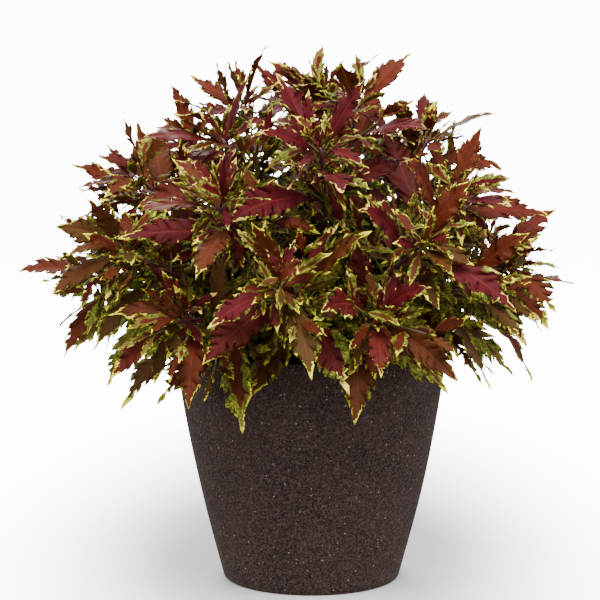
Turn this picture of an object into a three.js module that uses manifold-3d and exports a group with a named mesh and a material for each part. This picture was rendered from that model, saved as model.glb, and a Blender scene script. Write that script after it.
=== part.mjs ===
// Coleus with cut, toothed leaves in a tapered round pot: pot, potting mix and leafy stems.
// Millimetres, +Z up. The origin is the centre of the pot's underside, on the ground.
// Each leafy stem is one solid: a square stem with its opposite pairs of leaves grown out of it.
// It stands in a plain hole in the potting mix, and its leaves keep clear of the other stems' leaves.

import * as THREE from 'three';
import { mergeVertices } from 'three/addons/utils/BufferGeometryUtils.js';
import Module from 'manifold-3d';

const wasm = await Module();
wasm.setup();

// ---------------------------------------------------------------- driving dimensions

const POT = {
  height: 235,
  rimRadius: 135,
  footRadius: 88,
  swell: 1.4, // how much the wall bellies out between foot and rim
  wall: 9,
  floor: 11,
  rimRound: 3,
  wallSteps: 4,
  sides: 32,
  drainHoles: 4,
  drainRadius: 6,
  drainCircle: 42,
  drainSides: 10,
};

const MIX = {
  belowRim: 20, // how far the potting mix stays below the rim
  crown: 5, // how much higher it is round the stems than at the wall
  clearance: 0.35,
};
const MIX_LEVEL = POT.height - MIX.belowRim;
const MIX_TOP = MIX_LEVEL + MIX.crown;

const STEM = {
  count: 29,
  length: [268, 157], // of the middle stems and of the outermost
  lengthSpread: 12,
  lopside: 0.08, // how much longer the stems grow on the pot's left, and shorter on its right
  drift: -0.12, // how far all the stems lean to the pot's left together
  baseCircle: 59, // radius of the circle in which the stems leave the mix
  greatestLean: 97.5, // degrees from upright at the tip of the outermost stem
  leanGrowth: 1.25, // above 1, more of the stems stay near upright
  startLean: 0.54, // share of that lean at the foot
  sway: 24, // degrees that a stem turns aside along its length
  footHalf: 3.1, // half the side of the square section
  tipHalf: 1.5,
  rooted: 26, // depth in the mix
  steps: 4,
  holeClearance: 0.45,
};

// Pairs of leaves from the tip down: height up the stem, leaf length, angle to the stem and teeth.
const PAIRS = [
  { at: 0.97, length: 84, spread: 46, teeth: 2, ribs: [0, 0.4, 0.75], petioleHalf: 1.1 },
  { at: 0.86, length: 108, spread: 62, teeth: 3, ribs: [0, 0.4, 0.72], petioleHalf: 1.3 },
  { at: 0.74, length: 118, spread: 70, teeth: 3, ribs: [0, 0.4, 0.72], petioleHalf: 1.4 },
  { at: 0.58, length: 118, spread: 74, teeth: 3, ribs: [0, 0.4, 0.72], petioleHalf: 1.4 },
  { at: 0.42, length: 108, spread: 76, teeth: 2, ribs: [0, 0.4, 0.75], petioleHalf: 1.4 },
];

const LEAF = {
  widthShare: 0.15, // greatest half-width over length
  petioleShare: 0.17, // stalk length over leaf length
  ribOverHalf: 0.8, // thickness at the foot over its width
  ribTipHalf: 0.4, // half the thickness towards the tip
  fold: 0.2, // rise of the two halves from the rib, over their width
  droop: [0.005, 0.007], // turn towards the ground per millimetre, on upright and leaning stems
  outward: 0.28, // how far a leaf turns away from the middle of the plant
  skyward: 0.36, // how far its face turns up rather than out
  frontward: 0.5, // how far its face turns to the front, where the light comes from
  steps: 12,
};

const GAP = { otherStem: 8, sameStem: 5, stalk: 7, wall: 5 };
const TRIES = 14;
const SEED = 53931;

const DOWN = new THREE.Vector3(0, 0, -1);
const UP = new THREE.Vector3(0, 0, 1);
const FRONT = new THREE.Vector3(0, -1, 0);
const HEART = new THREE.Vector3(0, 0, MIX_LEVEL + 25); // the leaves turn away from here

// ---------------------------------------------------------------- seeded draws and small helpers

const radians = (degrees) => (degrees * Math.PI) / 180;
const mix = (a, b, share) => a + (b - a) * share;

// A number from 0 to 1 that depends only on its keys, so that each leaf has draws of its own.
function draw(...keys) {
  let h = SEED;
  for (const key of keys) {
    h = Math.imul(h ^ (key + 0x9e3779b9), 0x85ebca6b);
    h ^= h >>> 13;
    h = Math.imul(h, 0xc2b2ae35);
    h ^= h >>> 16;
  }
  return (h >>> 0) / 4294967296;
}

const spreadDraw = (...keys) => 2 * draw(...keys) - 1;

function solidOf(geometry) {
  geometry.deleteAttribute('normal');
  geometry.deleteAttribute('uv');
  const merged = mergeVertices(geometry, 1e-4);
  return new wasm.Manifold(
    new wasm.Mesh({
      numProp: 3,
      vertProperties: merged.getAttribute('position').array,
      triVerts: new Uint32Array(merged.index.array),
    }),
  );
}

function geometryOf(solid) {
  const { vertProperties, triVerts } = solid.getMesh();
  const geometry = new THREE.BufferGeometry();
  geometry.setAttribute('position', new THREE.BufferAttribute(vertProperties, 3));
  geometry.setIndex(new THREE.BufferAttribute(triVerts, 1));
  const flat = geometry.toNonIndexed();
  flat.computeVertexNormals();
  return flat;
}

function indexedGeometry(points, faces) {
  const geometry = new THREE.BufferGeometry();
  const numbers = new Float32Array(points.flatMap((p) => [p.x, p.y, p.z]));
  geometry.setAttribute('position', new THREE.BufferAttribute(numbers, 3));
  geometry.setIndex(faces);
  return geometry;
}

// ---------------------------------------------------------------- pot and potting mix

function potRadius(z) {
  const rise = Math.min(Math.max(z / POT.height, 0), 1);
  return POT.footRadius + (POT.rimRadius - POT.footRadius) * (1 - (1 - rise) ** POT.swell);
}

// The bore is a straight taper between a few heights, which the potting mix follows.
const BORE_HEIGHTS = Array.from(
  { length: POT.wallSteps },
  (_, i) => mix(POT.floor, POT.height - POT.rimRound, i / (POT.wallSteps - 1)),
);

function boreRadius(z) {
  const above = Math.max(1, BORE_HEIGHTS.findIndex((height) => height >= z));
  const [low, high] = [BORE_HEIGHTS[above - 1], BORE_HEIGHTS[above]];
  return mix(potRadius(low), potRadius(high), (z - low) / (high - low)) - POT.wall;
}

// Lathe profiles run in x = radius and y = height; the lathe's axis is turned upright afterwards.
function turned(profile, sides) {
  const geometry = new THREE.LatheGeometry(profile, sides);
  geometry.rotateX(Math.PI / 2);
  return solidOf(geometry);
}

function potSolid() {
  const profile = [new THREE.Vector2(0, 0), new THREE.Vector2(POT.footRadius - 3, 0)];
  for (let i = 0; i <= POT.wallSteps; i += 1) {
    const z = mix(3, POT.height - POT.rimRound, i / POT.wallSteps);
    profile.push(new THREE.Vector2(potRadius(z), z));
  }
  profile.push(new THREE.Vector2(POT.rimRadius - POT.rimRound, POT.height));
  profile.push(new THREE.Vector2(POT.rimRadius - POT.wall + POT.rimRound, POT.height));
  for (const z of BORE_HEIGHTS.toReversed()) profile.push(new THREE.Vector2(boreRadius(z), z));
  profile.push(new THREE.Vector2(0, POT.floor));
  let pot = turned(profile, POT.sides);
  for (let i = 0; i < POT.drainHoles; i += 1) {
    const hole = new THREE.CylinderGeometry(
      POT.drainRadius, POT.drainRadius, 3 * POT.floor, POT.drainSides,
    );
    hole.rotateX(Math.PI / 2);
    const angle = ((i + 0.5) / POT.drainHoles) * 2 * Math.PI;
    hole.translate(POT.drainCircle * Math.cos(angle), POT.drainCircle * Math.sin(angle), 0);
    pot = pot.subtract(solidOf(hole));
  }
  return pot;
}

function mixSolid(courses) {
  const low = POT.floor + MIX.clearance;
  const heights = [low, ...BORE_HEIGHTS.filter((z) => z > low && z < MIX_LEVEL), MIX_LEVEL];
  const profile = [new THREE.Vector2(0, low)];
  for (const z of heights) profile.push(new THREE.Vector2(boreRadius(z) - MIX.clearance, z));
  profile.push(new THREE.Vector2(STEM.baseCircle + 12, MIX_TOP));
  profile.push(new THREE.Vector2(0, MIX_TOP));
  let solid = turned(profile, POT.sides);
  for (const course of courses) {
    solid = solid.subtract(stalkSolid(course, STEM.holeClearance, 2));
  }
  return solid;
}

// ---------------------------------------------------------------- courses of the stems

// Stems fan out on a golden-angle spiral: the middle ones upright, the outer ones over the rim.
function stemCourse(index) {
  const share = Math.sqrt((index + 0.5) / STEM.count);
  const azimuth = index * Math.PI * (3 - Math.sqrt(5)) + radians(40);
  const lean = radians(STEM.greatestLean) * share ** STEM.leanGrowth * (1 + 0.08 * spreadDraw(index, 1));
  const lopside = 1 - STEM.lopside * share * Math.cos(azimuth);
  const length = mix(...STEM.length, share ** 2) * lopside + STEM.lengthSpread * spreadDraw(index, 2);
  const sway = radians(STEM.sway) * spreadDraw(index, 3);
  const foot = new THREE.Vector3(Math.cos(azimuth), Math.sin(azimuth), 0)
    .multiplyScalar(STEM.baseCircle * share)
    .setZ(MIX_TOP);
  const squareTurn = radians(45 + 25 * spreadDraw(index, 4));
  const at = (step) => {
    const s = step / STEM.steps;
    const tilt = mix(STEM.startLean * lean, lean, s);
    const turn = azimuth + sway * s;
    const axis = new THREE.Vector3(
      Math.sin(tilt) * Math.cos(turn) + STEM.drift * s, Math.sin(tilt) * Math.sin(turn), Math.cos(tilt),
    ).normalize();
    const level = new THREE.Vector3(-Math.sin(turn), Math.cos(turn), 0);
    level.addScaledVector(axis, -axis.dot(level)).normalize();
    const other = new THREE.Vector3().crossVectors(axis, level);
    const side = level.multiplyScalar(Math.cos(squareTurn))
      .addScaledVector(other, Math.sin(squareTurn));
    return { axis, side };
  };
  const first = at(0);
  const points = [foot.clone().addScaledVector(first.axis, -STEM.rooted), foot.clone()];
  const frames = [first, first];
  for (let step = 1; step <= STEM.steps; step += 1) {
    const { axis } = at(step - 1);
    points.push(points[step].clone().addScaledVector(axis, length / STEM.steps));
    frames.push(at(step));
  }
  return { index, share, length, points, frames };
}

// The place and frame at a share of the way from the mix to the tip.
function alongStem(course, share) {
  const x = share * STEM.steps;
  const step = Math.min(Math.floor(x), STEM.steps - 1);
  const rest = x - step;
  const place = course.points[step + 1].clone().lerp(course.points[step + 2], rest);
  const axis = course.points[step + 2].clone().sub(course.points[step + 1]).normalize();
  return { place, axis, side: course.frames[step + 1].side };
}

function stalkSolid(course, extra = 0, rings = course.points.length) {
  const points = [];
  const faces = [];
  for (let i = 0; i < rings; i += 1) {
    const { axis, side } = course.frames[i];
    const other = new THREE.Vector3().crossVectors(axis, side);
    const half = mix(STEM.footHalf, STEM.tipHalf, Math.max(i - 1, 0) / STEM.steps) + extra;
    let centre = course.points[i];
    if (extra > 0) {
      centre = centre.clone().addScaledVector(axis, i === 0 ? -extra : STEM.rooted);
    }
    for (const [a, b] of [[1, 1], [-1, 1], [-1, -1], [1, -1]]) {
      points.push(centre.clone().addScaledVector(side, a * half).addScaledVector(other, b * half));
    }
    if (i === 0) continue;
    const low = 4 * (i - 1);
    for (let k = 0; k < 4; k += 1) {
      const next = (k + 1) % 4;
      faces.push(low + k, low + next, low + 4 + next, low + k, low + 4 + next, low + 4 + k);
    }
  }
  const top = points.length - 4;
  faces.push(2, 1, 0, 3, 2, 0, top, top + 1, top + 2, top, top + 2, top + 3);
  return solidOf(indexedGeometry(points, faces));
}

// ---------------------------------------------------------------- courses of the leaves

// Half the width of the leaf's outer envelope at a share of its length, before it is cut.
function envelope(leaf, s) {
  if (s <= LEAF.petioleShare) return leaf.petioleHalf;
  const u = (s - LEAF.petioleShare) / (1 - LEAF.petioleShare);
  const swell = 4.06 * u * (1 - u) ** 1.02;
  return Math.max(leaf.halfWidth * swell, leaf.petioleHalf * (1 - u));
}

// One leaf of a pair, as a list of stations along its rib. Later tries turn it further aside.
function leafCourse(course, pair, order, side, attempt) {
  const stem = course.index;
  const key = (channel) => spreadDraw(stem, order, side, channel, attempt);
  const looser = 1 + 0.35 * attempt;
  const { place, axis, side: across } = alongStem(course, pair.at);
  const other = new THREE.Vector3().crossVectors(axis, across);
  const round = radians(90 * order + 180 * side + 12 * looser * key(1));
  const spread = radians(pair.spread + 8 * looser * key(2));
  const heading = axis.clone().multiplyScalar(Math.cos(spread))
    .addScaledVector(across, Math.sin(spread) * Math.cos(round))
    .addScaledVector(other, Math.sin(spread) * Math.sin(round));
  const outward = place.clone().sub(HEART).normalize();
  heading.addScaledVector(outward, LEAF.outward).normalize();
  const size = (1 + 0.12 * key(3)) * (1 - 0.03 * attempt);
  const leaf = {
    ...pair,
    length: pair.length * size,
    halfWidth: pair.length * size * LEAF.widthShare * (1 + 0.14 * key(4)),
    fold: LEAF.fold * (1 + 0.6 * key(5)),
    stations: [],
  };
  const droop = mix(...LEAF.droop, course.share) * (1 + 0.4 * key(6));
  const roll = radians(20 * key(7));
  const twist = radians(26 * key(8));
  const light = outward.clone().lerp(UP, LEAF.skyward).addScaledVector(FRONT, LEAF.frontward);
  const step = leaf.length / LEAF.steps;
  const at = place.clone();
  for (let i = 0; i <= LEAF.steps; i += 1) {
    const s = i / LEAF.steps;
    const normal = light.clone().addScaledVector(heading, -light.dot(heading)).normalize();
    const span = new THREE.Vector3().crossVectors(heading, normal);
    const angle = roll + twist * s;
    const face = normal.clone().multiplyScalar(Math.cos(angle))
      .addScaledVector(span, Math.sin(angle));
    const right = new THREE.Vector3().crossVectors(heading, face);
    leaf.stations.push({ s, place: at.clone(), face, right });
    at.addScaledVector(heading, step);
    heading.addScaledVector(DOWN, droop * step).normalize();
  }
  return leaf;
}

// A point of the leaf: s along it, across in millimetres from the rib, lift off its face.
function leafPoint(leaf, s, across, lift = 0) {
  const x = s * LEAF.steps;
  const step = Math.min(Math.floor(x), LEAF.steps - 1);
  const [low, high] = [leaf.stations[step], leaf.stations[step + 1]];
  const rest = x - step;
  const rise = lift + leaf.fold * Math.abs(across);
  return low.place.clone().lerp(high.place, rest)
    .addScaledVector(low.right.clone().lerp(high.right, rest), across)
    .addScaledVector(low.face.clone().lerp(high.face, rest), rise);
}

// ---------------------------------------------------------------- room between the leaves

// Points spread over everything placed so far, in cubic cells, to find what a new leaf would meet.
class Room {
  constructor(cell) {
    this.cell = cell;
    this.cells = new Map();
  }

  key(x, y, z) {
    return (x * 73856093) ^ (y * 19349663) ^ (z * 83492791);
  }

  cellOf(point) {
    return [point.x, point.y, point.z].map((v) => Math.floor(v / this.cell));
  }

  add(point, stem, kind) {
    const key = this.key(...this.cellOf(point));
    if (!this.cells.has(key)) this.cells.set(key, []);
    this.cells.get(key).push({ point, stem, kind });
  }

  // Whether a leaf's point keeps its distance from other stems, and from its own stem's leaves.
  free(point, stem, nearRoot) {
    const [x, y, z] = this.cellOf(point);
    for (let i = x - 1; i <= x + 1; i += 1) {
      for (let j = y - 1; j <= y + 1; j += 1) {
        for (let k = z - 1; k <= z + 1; k += 1) {
          for (const there of this.cells.get(this.key(i, j, k)) ?? []) {
            let gap = there.kind === 'stalk' ? GAP.stalk : GAP.otherStem;
            if (there.stem === stem) gap = nearRoot && there.kind !== 'leaf' ? 0 : GAP.sameStem;
            if (there.point.distanceToSquared(point) < gap * gap) return false;
          }
        }
      }
    }
    return true;
  }
}

function clearOfPot(point) {
  if (point.z > POT.height + GAP.wall) return true;
  const radius = Math.hypot(point.x, point.y);
  if (radius > potRadius(point.z) + GAP.wall) return true;
  const inside = radius < POT.rimRadius - POT.wall - GAP.wall;
  return inside && point.z > MIX_TOP + GAP.wall;
}

const ROOT_SHARE = 0.34; // of its length, where a leaf may come near the leaves of its own stem

function samples(leaf) {
  const found = [];
  for (let i = 2; i <= LEAF.steps; i += 1) {
    const s = i / LEAF.steps;
    const half = envelope(leaf, s);
    for (const share of [-1, -0.5, 0, 0.5, 1]) {
      found.push({ s, point: leafPoint(leaf, s, share * half) });
    }
  }
  return found;
}

// Tries a leaf in its own place first, then turned aside, and leaves it out if nothing is free.
function placeLeaf(room, course, pair, order, side) {
  for (let attempt = 0; attempt < TRIES; attempt += 1) {
    const leaf = leafCourse(course, pair, order, side, attempt);
    const points = samples(leaf);
    const clear = points.every(
      ({ s, point }) => clearOfPot(point) && room.free(point, course.index, s < ROOT_SHARE),
    );
    if (!clear) continue;
    points.forEach(({ s, point }) => room.add(point, course.index, s < ROOT_SHARE ? 'root' : 'leaf'));
    return leaf;
  }
  return null;
}

function layOut() {
  const courses = Array.from({ length: STEM.count }, (_, i) => stemCourse(i));
  const room = new Room(GAP.otherStem);
  for (const course of courses) {
    const marks = Math.round(course.length / 5);
    for (let i = 0; i <= marks; i += 1) {
      room.add(alongStem(course, i / marks).place, course.index, 'stalk');
    }
  }
  const leaves = courses.map(() => []);
  PAIRS.forEach((pair, order) => {
    for (const course of courses) {
      for (const side of [0, 1]) {
        const leaf = placeLeaf(room, course, pair, order, side);
        if (leaf) leaves[course.index].push(leaf);
      }
    }
  });
  return { courses, leaves };
}

// ---------------------------------------------------------------- leaf blades

// One half of the outline from the stalk to the tip, as shares of the length and half-width:
// each tooth is a point that leans forward, and then the cut behind the next tooth.
function halfOutline(leaf) {
  const { teeth } = leaf;
  const outline = [{ s: 0, y: leaf.petioleHalf }, { s: LEAF.petioleShare, y: leaf.petioleHalf }];
  const [first, last] = [0.4, 0.82];
  for (let k = 0; k < teeth; k += 1) {
    const s = mix(first, last, teeth === 1 ? 0.5 : k / (teeth - 1));
    outline.push({ s, y: 1.1 * envelope(leaf, s - 0.04) });
    outline.push({ s: s + 0.01, y: 0.72 * envelope(leaf, s + 0.01) });
  }
  return outline;
}

// A blade is a thin lens: its two faces share the cut outline and part at the rib.
function bladeSolid(leaf) {
  const { ribs } = leaf;
  const points = [];
  const add = (s, across, lift) => points.push(leafPoint(leaf, s, across, lift)) - 1;
  const thick = (s) => mix(LEAF.ribOverHalf * leaf.petioleHalf, LEAF.ribTipHalf, s);
  const tip = add(1, 0, 0);
  const top = [...ribs.map((s) => ({ s, at: add(s, 0, thick(s)) })), { s: 1, at: tip }];
  const under = [...ribs.map((s) => ({ s, at: add(s, 0, -thick(s)) })), { s: 1, at: tip }];
  const edges = [-1, 1].map((sign) => [
    ...halfOutline(leaf).map(({ s, y }) => ({ s, at: add(s, sign * y, 0) })),
    { s: 1, at: tip },
  ]);
  const faces = [];
  const face = (a, b, c, turn) => {
    if (a === b || b === c || a === c) return;
    faces.push(...(turn ? [a, c, b] : [a, b, c]));
  };
  // Joins a rib line to an edge line, stepping along whichever is behind.
  const zip = (rib, edge, turn) => {
    let [i, j] = [0, 0];
    while (i < rib.length - 1 || j < edge.length - 1) {
      const stepRib = j === edge.length - 1
        || (i < rib.length - 1 && rib[i + 1].s <= edge[j + 1].s);
      if (stepRib) {
        face(rib[i].at, rib[i + 1].at, edge[j].at, turn);
        i += 1;
      } else {
        face(rib[i].at, edge[j + 1].at, edge[j].at, turn);
        j += 1;
      }
    }
  };
  zip(top, edges[0], false);
  zip(top, edges[1], true);
  zip(under, edges[0], true);
  zip(under, edges[1], false);
  face(top[0].at, edges[0][0].at, under[0].at, false);
  face(top[0].at, under[0].at, edges[1][0].at, false);
  return solidOf(indexedGeometry(points, faces));
}

// The largest closed skin of a solid: loose scraps go, and hollows that fusing sealed are filled.
function oneBody(solid) {
  const bodies = solid.decompose();
  return bodies.reduce((best, body) => (body.volume() > best.volume() ? body : best));
}

function leafyStemSolid(course, leaves) {
  return oneBody(leaves.reduce((stem, leaf) => stem.add(bladeSolid(leaf)), stalkSolid(course)));
}

// ---------------------------------------------------------------- assembly

const FINISH = {
  pot: new THREE.MeshStandardMaterial({ color: 0x3d302b, roughness: 0.9, metalness: 0 }),
  potting_mix: new THREE.MeshStandardMaterial({ color: 0x2b211a, roughness: 1, metalness: 0 }),
  foliage: new THREE.MeshStandardMaterial({ color: 0x6e1824, roughness: 0.6, metalness: 0 }),
};

const { courses, leaves } = layOut();
const coleus = new THREE.Group();
coleus.name = 'coleus';

function addPiece(name, solid, material) {
  const mesh = new THREE.Mesh(geometryOf(solid), material);
  mesh.name = name;
  coleus.add(mesh);
}

addPiece('pot', potSolid(), FINISH.pot);
addPiece('potting_mix', mixSolid(courses), FINISH.potting_mix);
for (const course of courses) {
  const name = `leafy_stem_${String(course.index + 1).padStart(2, '0')}`;
  addPiece(name, leafyStemSolid(course, leaves[course.index]), FINISH.foliage);
}

export default coleus;
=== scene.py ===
"""A coleus with cut, toothed leaves in a tapered round pot: its looks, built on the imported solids.

The leafy stems follow the same seeded rule as the solids do, so each fine leaf lies where its
solid is. Lengths in the plant's own code are millimetres; meshes are written in metres.
"""

from __future__ import annotations

import functools
import itertools
import logging
import math
from dataclasses import dataclass, field
from enum import Enum
from typing import Iterable, Iterator, Sequence

import bpy
import numpy as np
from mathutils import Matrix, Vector

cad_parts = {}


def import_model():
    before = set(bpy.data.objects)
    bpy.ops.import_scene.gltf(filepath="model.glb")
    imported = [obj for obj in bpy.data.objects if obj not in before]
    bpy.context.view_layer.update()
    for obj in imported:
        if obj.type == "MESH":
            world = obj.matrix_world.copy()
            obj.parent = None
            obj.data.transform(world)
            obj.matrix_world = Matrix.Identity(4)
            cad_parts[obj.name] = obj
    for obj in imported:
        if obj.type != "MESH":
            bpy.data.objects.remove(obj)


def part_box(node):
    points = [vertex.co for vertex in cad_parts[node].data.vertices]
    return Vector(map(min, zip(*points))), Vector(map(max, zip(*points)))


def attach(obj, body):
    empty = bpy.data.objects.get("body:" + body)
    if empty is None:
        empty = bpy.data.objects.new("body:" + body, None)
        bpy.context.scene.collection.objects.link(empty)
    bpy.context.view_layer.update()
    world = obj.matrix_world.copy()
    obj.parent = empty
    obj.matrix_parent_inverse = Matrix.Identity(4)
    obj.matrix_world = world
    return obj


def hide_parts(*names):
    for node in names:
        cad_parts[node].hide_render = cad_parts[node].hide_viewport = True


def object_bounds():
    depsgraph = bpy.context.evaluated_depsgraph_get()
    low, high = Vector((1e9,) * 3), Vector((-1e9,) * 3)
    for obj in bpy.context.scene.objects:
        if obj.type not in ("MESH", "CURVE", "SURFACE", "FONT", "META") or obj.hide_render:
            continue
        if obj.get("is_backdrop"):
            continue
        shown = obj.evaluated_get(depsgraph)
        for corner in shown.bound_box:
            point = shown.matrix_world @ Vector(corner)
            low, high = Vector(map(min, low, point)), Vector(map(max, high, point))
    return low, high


LOG = logging.getLogger("coleus")
MM = 0.001
SEED = 53931
MASK = 0xFFFFFFFF
FULL_TURN = 2 * math.pi
PHASES = 6.28  # the start of a wave is drawn from 0 to this, in radians
GOLDEN_ANGLE = math.pi * (3 - math.sqrt(5))
UP = np.array([0.0, 0.0, 1.0])
FRONT = np.array([0.0, -1.0, 0.0])
# the 'shade' number is painted shade: how far a leaf's colours are darkened for lying deep in the
# foliage
POINT_NUMBERS = ("reach", "rim", "tint", "age", "shade")  # carried by the points for the colours

Array = np.ndarray
Triple = tuple[float, float, float]


# ------------------------------------------------------------------ seeded draws and small helpers


def draw(*keys: int) -> float:
    """Gives a number from 0 to 1 that depends only on its keys."""
    h = SEED
    for key in keys:
        h = ((h ^ ((key + 0x9E3779B9) & MASK)) * 0x85EBCA6B) & MASK
        h ^= h >> 13
        h = (h * 0xC2B2AE35) & MASK
        h ^= h >> 16
    return h / 4294967296


def spread_draw(*keys: int) -> float:
    """Gives a number from -1 to 1 that depends only on its keys."""
    return 2 * draw(*keys) - 1


def mix(a: float, b: float, share: float) -> float:
    """Goes from a to b as share goes from 0 to 1."""
    return a + (b - a) * share


def unit(v: Array) -> Array:
    """Scales a vector to length 1."""
    return v / math.sqrt(float(v @ v))


def swing(first: Array, second: Array, angle: float) -> Array:
    """Gives the direction at an angle from the first towards the second."""
    return first * math.cos(angle) + second * math.sin(angle)


def smoothstep(low: float, high: float, x: Array | float) -> Array:
    """Rises smoothly from 0 at low to 1 at high."""
    share = np.clip((x - low) / (high - low), 0, 1)
    return share * share * (3 - 2 * share)


def linear(code: str) -> tuple[float, float, float, float]:
    """Turns an sRGB hex value into a linear colour with alpha."""
    channels = [int(code[i : i + 2], 16) / 255 for i in (1, 3, 5)]
    red, green, blue = (
        c / 12.92 if c <= 0.04045 else ((c + 0.055) / 1.055) ** 2.4 for c in channels
    )
    return (red, green, blue, 1.0)


# ------------------------------------------------------------------ material nodes

PLUS = {"operation": "ADD"}
MINUS = {"operation": "SUBTRACT"}
TIMES = {"operation": "MULTIPLY"}
LARGER = {"operation": "MAXIMUM"}
EASED = {"interpolation_type": "SMOOTHSTEP"}


class Tree:
    """The node tree of one material."""

    def __init__(self, name: str) -> None:
        """Makes a material with an empty tree and its output."""
        self.material = bpy.data.materials.new(name)
        self.material.use_nodes = True
        self.tree = self.material.node_tree
        self.tree.nodes.clear()
        self.output = self.tree.nodes.new("ShaderNodeOutputMaterial")

    def add(
        self,
        kind: str,
        settings: dict[str, object],
        *inputs: object,
        out: int | str = 0,
        **named: object,
    ) -> bpy.types.NodeSocket:
        """Adds a node with its settings and its links.

        Args:
            kind: The node's type without "ShaderNode".
            settings: Properties of the node itself.
            *inputs: Its inputs in their order: a socket is linked, a hex value is turned into a
                linear colour, and any other value is set.
            out: Name or number of the output to give.
            **named: Inputs by name, with spaces written as underscores.

        Returns:
            One output of the new node; the others are reached through its node.
        """
        node = self.tree.nodes.new("ShaderNode" + kind)
        for name, value in settings.items():
            setattr(node, name, value)
        by_name = {name.replace("_", " "): value for name, value in named.items()}
        for key, value in {**dict(enumerate(inputs)), **by_name}.items():
            if isinstance(value, bpy.types.NodeSocket):
                self.tree.links.new(value, node.inputs[key])
            else:
                value = linear(value) if isinstance(value, str) else value
                node.inputs[key].default_value = value
        return node.outputs[out]

    def finish(self, shader: bpy.types.NodeSocket) -> bpy.types.Material:
        """Links the shader to the output and gives the material."""
        self.tree.links.new(shader, self.output.inputs["Surface"])
        return self.material


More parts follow.
